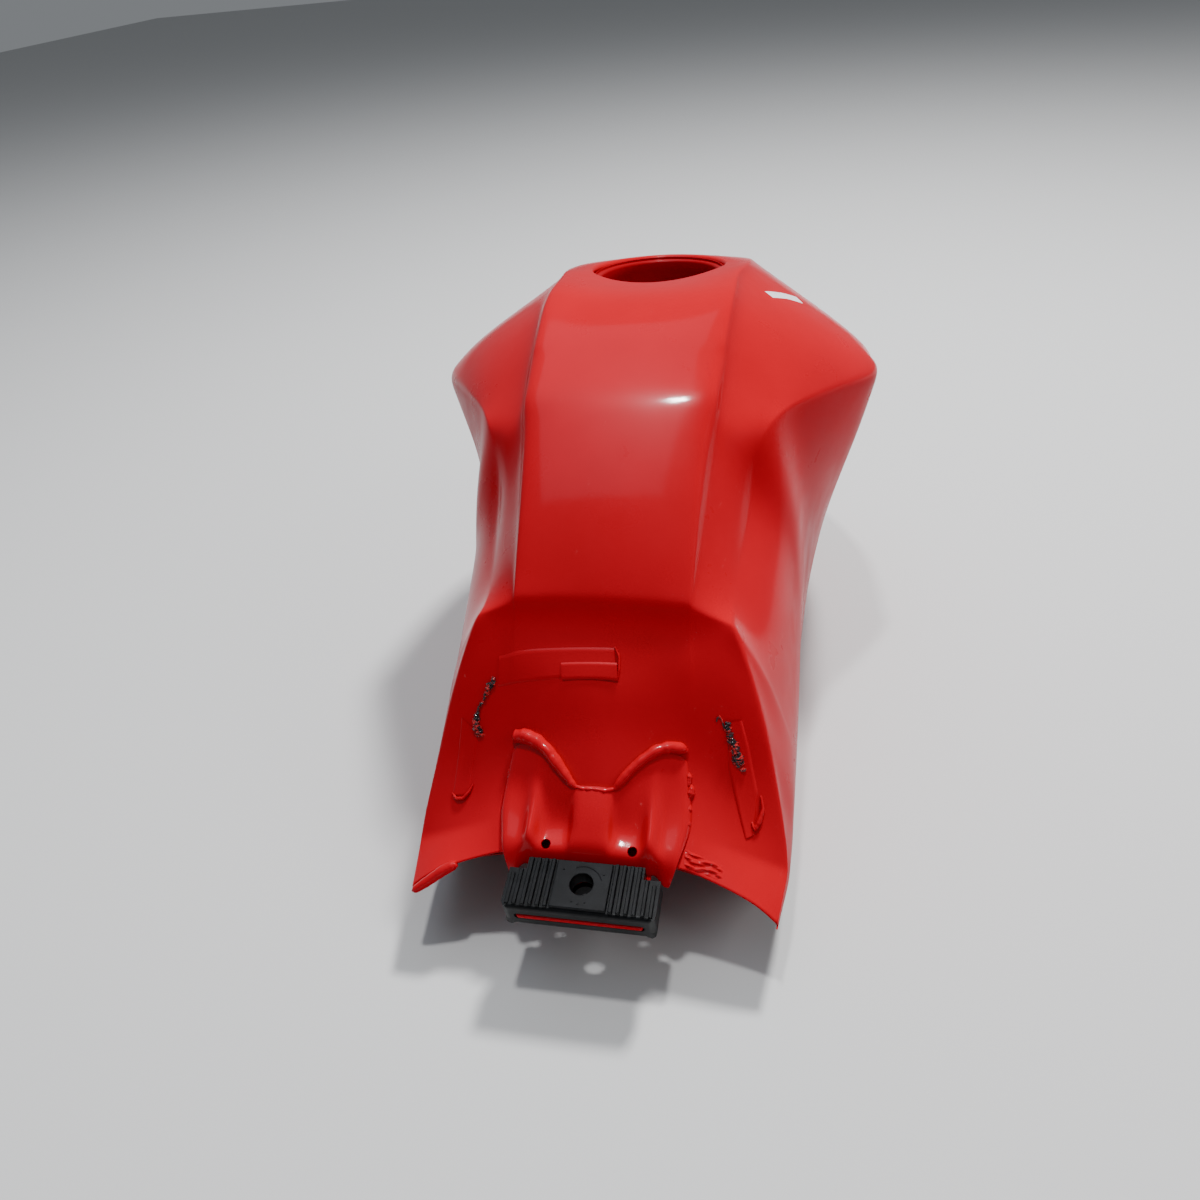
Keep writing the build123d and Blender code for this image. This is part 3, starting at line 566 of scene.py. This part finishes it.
def film(name, rows, thick, columns=14, rim=0.9):
    """A thin skin of paint or tape on the tank. rows: (x, y) of the left and right ends and a lift."""
    points = []
    for (lx, ly), (rx, ry), lift in rows:
        for c in range(columns):
            share = c / (columns - 1)
            width = math.hypot(rx - lx, ry - ly)
            edge = min(share, 1 - share) * width
            height = -0.15 + (thick + 0.15) * min(1, edge / rim) ** 0.5 + lift
            points.append(SKIN.lift(lx + (rx - lx) * share, ly + (ry - ly) * share, height))
    faces = [tuple(reversed(face)) for face in grid_faces(len(rows), columns)]
    return mesh_piece(name, points, faces)


def lump_chain(name, spine, seed, jitter=0.45, sides=14):
    """Lumpy rod along (point, radius) stations, for weld metal and dried filler."""
    rng = random.Random(seed)
    points = []
    stations = []
    steps = 5
    for (a, ra), (b, rb) in zip(spine, spine[1:]):
        for step in range(steps):
            share = step / steps
            ease = share * share * (3 - 2 * share)
            stations.append((Vector(a).lerp(Vector(b), share), ra + (rb - ra) * ease))
    stations.append((Vector(spine[-1][0]), spine[-1][1]))
    for index, (centre, radius) in enumerate(stations):
        ahead = stations[min(index + 1, len(stations) - 1)][0] - stations[max(index - 1, 0)][0]
        turn = ahead.to_track_quat("Z", "Y")
        size = radius * (1 + rng.uniform(-jitter, jitter) * 0.5)
        for s in range(sides):
            angle = 2 * math.pi * s / sides
            reach = size * (1 + rng.uniform(-jitter, jitter) * 0.25)
            points.append(centre + turn @ (Vector((math.cos(angle), math.sin(angle), 0)) * reach))
    faces = grid_faces(len(stations), sides, wrap=True)
    faces += [tuple(reversed(range(sides))), tuple(range(len(points) - sides, len(points)))]
    piece = mesh_piece(name, points, faces)
    return subdivide(piece, 1)


# ---------------------------------------------------------------- build the skin
skin = open_mouth(make_skin())
SKIN = Surface(skin)
thicken(skin, SHEET, -1)
finish_piece(skin, PAINT, replaces=("left_shell", "right_shell"))


# ---------------------------------------------------------------- filler recess
def revolve(name, profile, place, sides=128):
    """Turned sheet from (radius, height) stations in millimetres, placed by a matrix in metres."""
    points = []
    for radius, height in profile:
        for s in range(sides):
            angle = 2 * math.pi * s / sides
            local = Vector((radius * math.cos(angle), radius * math.sin(angle), height)) * MM
            points.append((place @ local) / MM)
    return mesh_piece(name, points, [tuple(reversed(f)) for f in grid_faces(len(profile), sides, wrap=True)])


CUP_PROFILE = (
    (50.9, -2.6), (50.9, -4.2), (50.5, -4.9), (49.6, -5.2), (48.6, -5.3), (47.9, -5.7),
    (47.5, -6.6), (47.5, -12), (47.5, -20), (47.5, -29), (46.9, -31.8), (45.2, -33.5),
    (42.5, -34), (34, -34), (26, -34), (22.6, -34),
)
cup = revolve("recess_cup", CUP_PROFILE, cap_frame())
thicken(cup, SHEET, -1)
cut(cup, rod("drain_cutter", (28, 108, 265), (28, 108, 290), 3.5))
bevel(cup, 0.3, 2, 60)
# the recess walls take the darkened paint copy: painted shade inside the filler recess
finish_piece(cup, PAINT_SHADED_INSIDE, replaces=("filler_cup",))


# ---------------------------------------------------------------- rear bracket
# Pressed plate: x, then how far it stands off the skin at its top edge and three lines below.
BRACKET_PROUD = (
    (0, (2.4, 7.0, 9.4, 8.4)),
    (8.5, (2.4, 6.8, 9.2, 8.2)),
    (12, (2.4, 4.2, 6.6, 6.6)),
    (15, (2.3, 2.4, 2.6, 3.2)),
    (24, (2.2, 2.4, 2.4, 2.8)),
    (31, (2.2, 2.3, 2.6, 3.0)),
    (35.5, (2.2, 3.0, 8.5, 11.0)),
    (39, (2.2, 2.8, 7.0, 10.5)),
    (43, (2.2, 2.3, 3.4, 5.0)),
    (48, (2.0, 2.3, 3.4, 5.0)),
    (54, (1.6, 3.0, 4.4, 5.0)),
    (56.5, (0.2, 0.2, 0.6, 2.0)),
)
BRACKET_EDGE = ((0, -226), (12, -226), (18, -222), (31, -212), (45, -206), (53, -206), (57, -209))
KNEE_Y, KNEE_Z = -257, 78
FOOT_Y, FOOT_Z = -260.5, 67.5
SIDE_STRIP_X, SIDE_STRIP_Z = 47, (75, 62.5)  # where the outer strips start; their bend and their foot
FLARE = (1, 1.3, 1.45, 1.1, 0.8, 0.5)  # the outer strips widen towards the middle, then draw in
SCREW_X, SCREW_Y, SCREW_LEAN = 27, -252, math.radians(32)


def flare(x, row):
    """The column's x in one row of the bracket's grid."""
    past = abs(x) - SIDE_STRIP_X
    return x if past <= 0 else math.copysign(SIDE_STRIP_X + past * FLARE[row], x)


def make_bracket():
    """The plate over the rear slope; also cuts the screw holes through the skin's flange under it."""
    columns = [(-x, proud) for x, proud in reversed(BRACKET_PROUD[1:])] + list(BRACKET_PROUD)
    grid = []
    for share, row in ((0, 0), (0.36, 1), (0.7, 2), (1, 3)):
        for x, proud in columns:
            edge = along(BRACKET_EDGE, abs(x))
            wide = flare(x, row)
            foot = -247 if abs(wide) < 50 else -245
            grid.append(SKIN.lift(wide, edge + (foot - edge) * share, proud[row]))
    for x, proud in columns:
        outer = abs(x) > SIDE_STRIP_X
        height = SIDE_STRIP_Z[0] if outer else KNEE_Z
        grid.append((flare(x, 4), KNEE_Y - (1 if outer else 0), height + 0.3 * proud[3]))
    for x, proud in columns:
        outer = abs(x) > SIDE_STRIP_X
        height = SIDE_STRIP_Z[1] if outer else FOOT_Z
        grid.append((flare(x, 5) * 0.97, FOOT_Y - (4 if outer else 0.1 * proud[3]), height))
    faces = [tuple(reversed(face)) for face in grid_faces(6, len(columns))]
    plate = mesh_piece("bracket_plate", grid, faces)
    fit_cage(plate, 2, 1, 0.7)
    subdivide(plate, 3)
    thicken(plate, 2, -1)
    for side in (1, -1):
        spot, _ = SKIN.top(side * SCREW_X, SCREW_Y)
        axis = Vector((0, -math.sin(SCREW_LEAN), math.cos(SCREW_LEAN)))
        cut(plate, rod("screw_cutter", spot - axis * 4, spot + axis * 14, 3))
        cut(skin, rod("flange_cutter", spot - axis * 6, spot + axis * 1.2, 4.5))
    return plate


def cushion_place():
    """Matrix of the cushion's top plane."""
    slope = math.radians(9.3)
    back = Vector((0, math.cos(slope), math.sin(slope)))
    up = Vector((0, -math.sin(slope), math.cos(slope)))
    turn = Matrix((Vector((1, 0, 0)), back, up)).transposed()
    return Matrix.Translation(Vector((0, -278, 75)) * MM) @ turn.to_4x4()


def block(name, low, high, rounds=()):
    """Box in millimetres. rounds: (axis, pick, radius) rounds the edges along axis that pick accepts."""
    work = bmesh.new()
    bmesh.ops.create_cube(work, size=1)
    for vertex in work.verts:
        for axis in range(3):
            vertex.co[axis] = (low[axis] if vertex.co[axis] < 0 else high[axis]) * MM
    for axis, pick, radius in rounds:
        chosen = []
        for edge in work.edges:
            a, b = (v.co / MM for v in edge.verts)
            way = (b - a).normalized()
            if abs(way[axis]) > 0.99 and pick((a + b) / 2):
                chosen.append(edge)
        bmesh.ops.bevel(work, geom=chosen, offset=radius * MM, segments=6, profile=0.5, affect="EDGES")
    mesh = bpy.data.meshes.new(name)
    work.to_mesh(mesh)
    work.free()
    return link(name, mesh)


def unite(piece, other):
    modifier = piece.modifiers.new("unite", "BOOLEAN")
    modifier.operation = "UNION"
    modifier.solver = "EXACT"
    modifier.object = other
    bake(piece)
    bpy.data.objects.remove(other)
    return piece


TONGUE_HALF = 38.5
CUSHION_HALF, STEP_HALF = 46.5, 36  # half widths of the cushion and of the step at its front
CUSHION_BACK, CUSHION_FRONT, STEP_FRONT = -18, 8, 16
CUSHION_FOOT, CUSHION_TOP = -24, -2.6  # the ribs and the middle pad stand on the top
SLOT_FOOT, SLOT_TOP = -15.6, -10.2  # the tongue runs through this slot
BOLT_R, PAD_HALF = 7, 17
RIB_HALF, RIB_START, RIB_PITCH, RIB_COUNT = 1.25, 19.6, 4.6, 4
tongue = block(
    "bracket_tongue", (-TONGUE_HALF, -18.5, -14.4), (TONGUE_HALF, 20.5, -11.4), ((2, lambda p: True, 2),))
cut(tongue, rod("tongue_hole", (0, 0, -20), (0, 0, 0), 9))
bevel(tongue, 0.4, 2)
tongue.data.transform(cushion_place())
bracket = join("rear_bracket_plate", [make_bracket(), tongue])
for polygon in bracket.data.polygons:
    polygon.use_smooth = True
bevel(bracket, 0.35, 2, 50)
finish_piece(bracket, PAINT, replaces=("rear_bracket",))


# ---------------------------------------------------------------- weld metal
def bead(name, stations, *shape):
    """Lumpy rod on the skin from (x, y, lift, radius) stations."""
    return lump_chain(name, [(SKIN.lift(x, y, height), radius) for x, y, height, radius in stations], *shape)


bead_left = bead("bead_left", (
    (-56, -202.5, 1.2, 1.6), (-53, -203, 1.2, 4.7), (-46, -204, 1.4, 5.0), (-38, -207, 1.6, 4.6),
    (-31, -211, 1.8, 3.9), (-25, -216, 1.9, 4.1), (-19, -221, 2.0, 3.4), (-14, -225, 2.2, 2.4),
    (-10, -227, 2.4, 1.2)), 3, 0.18, 20)
bead_right = bead("bead_right", (
    (55.5, -204, 1.0, 1.8), (52, -203.5, 1.6, 3.6), (45, -204.5, 1.8, 3.8), (37, -207.5, 1.9, 3.5),
    (29, -212.5, 2.0, 3.4), (22, -218, 2.0, 3.2), (16.5, -223, 2.1, 2.8), (13, -226.5, 2.4, 1.4)),
    5, 0.18, 20)
bead_middle = bead("bead_middle", (
    (-13, -226, 2.0, 1.2), (-6, -227.2, 2.2, 1.5), (0, -227, 2.2, 1.3), (7, -227.3, 2.2, 1.6),
    (14, -226, 2.0, 1.2)), 7, 0.5, 12)
SIDE_BLOBS = (
    (57, -211, 2.0), (58.5, -215.5, 2.6), (58, -224, 1.9), (57.5, -231, 2.4),
    (-57, -214, 1.6), (-57, -224, 1.5),
)
side_blobs = []
for index, (x, y, size) in enumerate(SIDE_BLOBS):
    side_blobs.append(bead(f"blob_{index}", (
        (x, y, 0.2, 0.8), (x + 0.5, y - 2, 1.0, size), (x, y - 4.5, 0.9, size * 0.9),
        (x - 0.5, y - 7, 0.2, 0.8)), 11 + index, 0.4, 10))
welds = join("weld_beads", [bead_left, bead_right, bead_middle, *side_blobs])
finish_piece(welds, PAINT, replaces=("bracket_welds",))


# ---------------------------------------------------------------- rubber cushion
def make_cushion():
    """Ribbed rubber on the tongue, in the tongue's own axes: X across, Y forward, Z off its top."""
    low, high = (-CUSHION_HALF, CUSHION_BACK, CUSHION_FOOT), (CUSHION_HALF, CUSHION_FRONT, CUSHION_TOP)
    body = block("rubber_cushion", low, high, (
        (1, lambda p: p.z < -10, 7), (2, lambda p: p.y < 0, 4),
        (0, lambda p: p.y < 0 and p.z < -10, 4), (0, lambda p: p.y < 0 and p.z > -10, 2.5)))
    low, high = (-STEP_HALF, CUSHION_FRONT - 1, CUSHION_FOOT), (STEP_HALF, STEP_FRONT, CUSHION_TOP)
    unite(body, block("front_step", low, high))
    low, high = (-TONGUE_HALF - 1.0, -40, SLOT_FOOT), (TONGUE_HALF + 1.0, 40, SLOT_TOP)
    cut(body, block("slot_cutter", low, high, ((1, lambda p: True, 2.2),)))
    cut(body, rod("bolt_cutter", (0, 0, -30), (0, 0, 5), BOLT_R, 64))
    bevel(body, 0.7, 3, 40)
    details = [body]
    pad = block("pad", (-PAD_HALF, -16, -4), (PAD_HALF, 15, -0.2))
    cut(pad, rod("pad_cutter", (0, 0, -30), (0, 0, 5), BOLT_R, 64))
    bevel(pad, 0.5, 3, 40)
    details.append(pad)
    for side in (1, -1):
        for step in range(RIB_COUNT):
            x = side * (RIB_START + RIB_PITCH * step)
            rib = block("rib", (x - RIB_HALF, -16.4, -4), (x + RIB_HALF, 15.2, 0.1 - 0.15 * step))
            details.append(bevel(rib, 0.55, 3, 40))
        for x, front_y, top in ((38.6, 8.4, -1.0), (43.2, 5.5, -1.5)):
            rib = block("rib", (side * x - RIB_HALF, -16.2, -4), (side * x + RIB_HALF, front_y - 1, top))
            details.append(bevel(rib, 0.55, 3, 40))
    for x, y in ((-12.5, 9), (12.5, 7.5), (-4, -11.5), (0, -12.8), (4, -11.5)):
        pip = rod("pip", (x, y, -0.6), (x, y, 0.25), 0.7, 16)
        details.append(pip)
    arc = []
    for step in range(25):
        angle = math.radians(20 + 95 * step / 24)
        arc.append((Vector((12.4 * math.cos(angle), 12.4 * math.sin(angle) - 1, -0.25)), 0.35))
    details.append(lump_chain("moulded_arc", arc, 1, 0.0, 8))
    cushion = join("rubber_cushion", details)
    cushion.data.transform(cushion_place())
    for polygon in cushion.data.polygons:
        polygon.use_smooth = False
    return cushion


finish_piece(make_cushion(), RUBBER, replaces=("rear_cushion",))

# ---------------------------------------------------------------- rear edge
LIP = ((-85, 2.2), (-88, 3.3), (-94, 3.5), (-100, 3.4), (-106, 3.2), (-112, 2.6), (-114.5, 1.2))  # x, radius
LIP_DROP = ((0, 63.5), (0.3, 59.5), (0.7, 51.5), (1.05, 45))  # share of the way out, z
LIP_START, LIP_REACH = 84, 30
spine = []
for x, radius in LIP:
    share = (abs(x) - LIP_START) / LIP_REACH
    y = along(REAR_EDGE, abs(x)) - 1.6
    spine.append((Vector((x, y, along(LIP_DROP, share))), radius))
rolled_lip = lump_chain("rolled_lip", spine, 21, 0.06, 18)
finish_piece(rolled_lip, PAINT)


# ---------------------------------------------------------------- tape and filler on the rear slope
def strip_rows(left, right, steps, lift=lambda share: 0.0):
    """Rows between two polylines of the same number of points."""
    rows = []
    spans = len(left) - 1
    for step in range(steps + 1):
        place = spans * step / steps
        index = min(int(place), spans - 1)
        share = place - index
        ends = []
        for line in (left, right):
            a, b = line[index], line[index + 1]
            ends.append((a[0] + (b[0] - a[0]) * share, a[1] + (b[1] - a[1]) * share))
        rows.append((ends[0], ends[1], lift(step / steps)))
    return rows


TAPES = (  # name, left line, right line, steps, thickness
    ("tape_wide", ((-66, -176.5), (-40, -175.4), (9, -174.4)),
     ((-66, -187), (-40, -187.4), (12, -187.2)), 60, 0.6),
    ("tape_right", ((80, -191.7), (80.7, -205.7), (86, -217), (92.7, -231.2)),
     ((88.2, -190), (92.9, -196.7), (99.2, -210.5), (98, -228)), 60, 0.8),
    ("tape_left", ((-93, -194), (-96, -210), (-98, -222)), ((-80, -200), (-84, -212), (-85, -223)), 40, 0.4),
)
films = [film(name, strip_rows(left, right, steps), thick) for name, left, right, steps, thick in TAPES]
FLAP_LEFT, FLAP_RIGHT = ((-24, -181), (11.5, -180.5)), ((-23, -187.8), (12.6, -187.6))
films.insert(1, film("tape_flap", strip_rows(FLAP_LEFT, FLAP_RIGHT, 40, lambda s: 0.6 + 0.5 * s ** 4), 0.6))
tape = join("tape_strips", films)
finish_piece(tape, PAINT)

curls = [
    bead("curl_left", (
        (-98, -221, 0.4, 0.6), (-94, -224, 1.2, 1.1), (-89, -224.5, 1.5, 1.2), (-85, -222, 1.2, 0.9),
        (-83, -219, 0.4, 0.5)), 31, 0.3, 10),
    bead("curl_right", (
        (101, -212, 0.4, 0.6), (102.5, -217, 1.4, 1.2), (100.5, -222, 1.6, 1.5), (98, -226, 1.3, 1.3),
        (96, -223, 0.6, 0.7)), 33, 0.4, 10),
    bead("flap_edge", (
        (9.5, -174, 0.5, 0.5), (12.5, -178, 0.9, 0.8), (12.8, -183, 1.0, 0.8), (12.2, -187.4, 0.5, 0.5)),
        35, 0.2, 10),
]
curl = join("curled_film", curls)
finish_piece(curl, PAINT)


def residue(name, spine, seed, count):
    """Torn, dried filler: small lumps heaped along (x, y, spread) stations on the skin."""
    rng = random.Random(seed)
    heap = []
    for index in range(count):
        share = rng.random() * (len(spine) - 1)
        start = int(share)
        a, b = spine[start], spine[min(start + 1, len(spine) - 1)]
        x, y, spread = (u + (v - u) * (share - start) for u, v in zip(a, b))
        if rng.random() > spread + 0.25:
            continue
        size = rng.uniform(0.4, 0.9) + 0.3 * spread
        x += rng.gauss(0, spread * 0.8)
        y += rng.gauss(0, spread * 0.8)
        centre = SKIN.lift(x, y, size * rng.uniform(0.1, 1.2))
        work = bmesh.new()
        bmesh.ops.create_icosphere(work, subdivisions=2, radius=size * MM)
        stretch = Vector((rng.uniform(0.6, 1.8), rng.uniform(0.6, 1.8), rng.uniform(0.4, 0.9)))
        for vertex in work.verts:
            bump = 1 + rng.uniform(-0.28, 0.28)
            vertex.co = vertex.co * stretch * bump + centre * MM
        mesh = bpy.data.meshes.new(name)
        work.to_mesh(mesh)
        work.free()
        heap.append(link(name, mesh))
    return join(name, heap)


# x, y and spread along each tear
LEFT_TEAR = ((-69.5, -184, 0.9), (-72.5, -186.8, 0.8), (-76, -189.5, 0.1), (-80, -192.2, 0.15),
             (-82, -195.5, 0.7), (-81.5, -198, 0.9), (-79, -200, 0.7))
RIGHT_TEAR = (
    (79.8, -192.3, 0.8), (81.9, -196.3, 0.7), (84, -198.5, 1.1), (87, -201, 1.5), (86.8, -203.8, 1.5))
left_residue = residue("residue_left", LEFT_TEAR, 41, 260)
right_residue = residue("residue_right", RIGHT_TEAR, 43, 210)
loop = bead("residue_loop", (
    (72.8, -192.6, 0.5, 0.3), (73.3, -191.3, 0.5, 0.5), (74.5, -190.6, 0.5, 0.5), (76.3, -191.6, 0.5, 0.55),
    (77.2, -193.4, 0.5, 0.5), (78.6, -194.6, 0.5, 0.3)), 45, 0.3, 10)
filler = join("torn_filler", [left_residue, right_residue, loop])


def filler_material():
    """Dark dried filler with red paint on its high spots."""
    n = Nodes("torn_filler")
    patch = n.level(n.noise(300, 4, 0.7), 0.5, 0.56)
    n.drive("Base Color", n.mix(patch, (0.012, 0.008, 0.01), (0.45, 0.01, 0.012)))
    n.drive("Roughness", n.level(n.noise(300, 3), 0.3, 0.7, 0.3, 0.6))
    n.set(Coat_Weight=0.4, Specular_IOR_Level=0.3, Coat_Roughness=0.1)
    n.bump(n.noise(900, 4, 0.7), 0.5, 0.0004)
    return n.material


finish_piece(filler, filler_material())


def wrinkled_patch():
    """Rough, shiny run of paint on the flared rear edge."""
    rng = random.Random(9)
    across, deep = 70, 30
    phase = [rng.uniform(0, 6.28) for _ in range(8)]
    points = []
    for r in range(deep + 1):
        for c in range(across + 1):
            u, v = c / across, r / deep
            x = 57.5 + 24 * u
            y = -246.5 - 9.5 * v - 3.0 * u
            rim_fall = min(1, u * 8, (1 - u) * 8, v * 6, (1 - v) * 6)
            wave = math.sin(16 * v + 2.2 * math.sin(7 * u + phase[0]) + phase[1]) * 0.38
            wave += math.sin(31 * v + 9 * u + phase[2]) * 0.16 + math.sin(27 * u + 5 * v + phase[3]) * 0.14
            points.append(SKIN.lift(x, y, -0.12 + rim_fall * (0.7 + 1.7 * wave)))
    faces = [tuple(reversed(face)) for face in grid_faces(deep + 1, across + 1)]
    return mesh_piece("paint_run", points, faces)


finish_piece(wrinkled_patch(), PAINT)

# plain pale stripe on the right shoulder
STRIPE_LEFT, STRIPE_RIGHT = ((84, 84), (95, 103), (106, 118)), ((91, 80), (101, 96), (112, 108))
stripe = film("shoulder_stripe", strip_rows(STRIPE_LEFT, STRIPE_RIGHT, 40), 0.12, 12, 0.3)
STRIPE = moulded("pale_stripe", (0.7, 0.68, 0.7), 0.3)
finish_piece(stripe, STRIPE)

# ---------------------------------------------------------------- CAD nodes that stay as they are
FINISHES = {
    # tunnel plate and front mounts take the darkened paint copy: painted shade under the tank
    "tunnel_plate": PAINT_SHADED_INSIDE, "filler_neck": STEEL, "recess_drain_pipe": STEEL,
    "front_mount_left": PAINT_SHADED_INSIDE, "front_mount_right": PAINT_SHADED_INSIDE,
    "cock_boss": STEEL, "cock_gasket": GASKET, "cock_body": ALLOY, "cock_lever": LEVER_PLASTIC,
    "cock_lever_plate": ZINC, "cock_screws": ZINC, "cock_bolts": ZINC, "cock_standpipe": BRASS,
    "cock_strainer": STRAINER_PLASTIC, "sender_gasket": GASKET, "sender_plate": ZINC,
    "sender_studs": ZINC, "sender_nuts": ZINC, "sender_stem": STRAINER_PLASTIC,
    "float_arm": ZINC, "sender_float": FLOAT_PLASTIC,
}
for node, finish in FINISHES.items():
    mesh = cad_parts[node].data
    mesh.materials.clear()
    mesh.materials.append(finish)

# ---------------------------------------------------------------- studio
floor_mesh = bpy.data.meshes.new("floor")
floor_corners = [(x, y, -0.001) for x, y in ((-6, -6), (6, -6), (6, 9), (-6, 9))]
floor_mesh.from_pydata(floor_corners, [], [(0, 1, 2, 3)])
floor = link("floor", floor_mesh)
floor_look = Nodes("pale_floor")
floor_look.set(Base_Color=(0.55, 0.55, 0.55, 1), Roughness=0.9, Specular_IOR_Level=0.1)
floor.data.materials.append(floor_look.material)

world = bpy.data.worlds.new("studio")
world.use_nodes = True
bpy.context.scene.world = world
world.node_tree.nodes["Background"].inputs["Color"].default_value = (0.9, 0.95, 1.0, 1)
world.node_tree.nodes["Background"].inputs["Strength"].default_value = 0.22


def area_light(name, place, target, size, power, color=(1, 1, 1)):
    light = bpy.data.lights.new(name, "AREA")
    light.shape = "RECTANGLE"
    light.size, light.size_y = size
    light.energy = power
    light.color = color
    lamp = bpy.data.objects.new(name, light)
    lamp.location = place
    lamp.rotation_euler = (Vector(target) - Vector(place)).to_track_quat("-Z", "Y").to_euler()
    bpy.context.scene.collection.objects.link(lamp)
    return lamp


area_light("overhead", (-0.7, 0.3, 2.7), (-0.7, 0.3, 0), (1.6, 3.0), 13, (0.75, 0.85, 1.0))
area_light("glint", (-0.06, -0.02, 2.45), (0, 0, 0.2), (0.14, 0.14), 30)
for name, place, size, power in (("key", (0.5, 0.95, 2.2), 0.3, 92), ("side", (1.9, -0.6, 1.5), 1.2, 16)):
    fill = area_light(name, place, (0, 0, 0.15), (size, size), power)
    fill.visible_glossy = False  # no second highlight on the gloss

camera = bpy.data.cameras.new("photo_view")
camera.lens = 30
camera.sensor_width = 36
camera.clip_start = 0.01
eye = bpy.data.objects.new("photo_view", camera)
bpy.context.scene.collection.objects.link(eye)
EYE_AT = (0.1280, -0.6478, 0.5507)
EYE_AXES = ((0.97727, 0.19169, -0.09060), (-0.03818, 0.57944, 0.81413), (0.20856, -0.79216, 0.57358))
turn = Matrix([Vector(axis).normalized() for axis in EYE_AXES]).transposed()
eye.matrix_world = Matrix.Translation(EYE_AT) @ turn.to_4x4()
bpy.context.scene.camera = eye
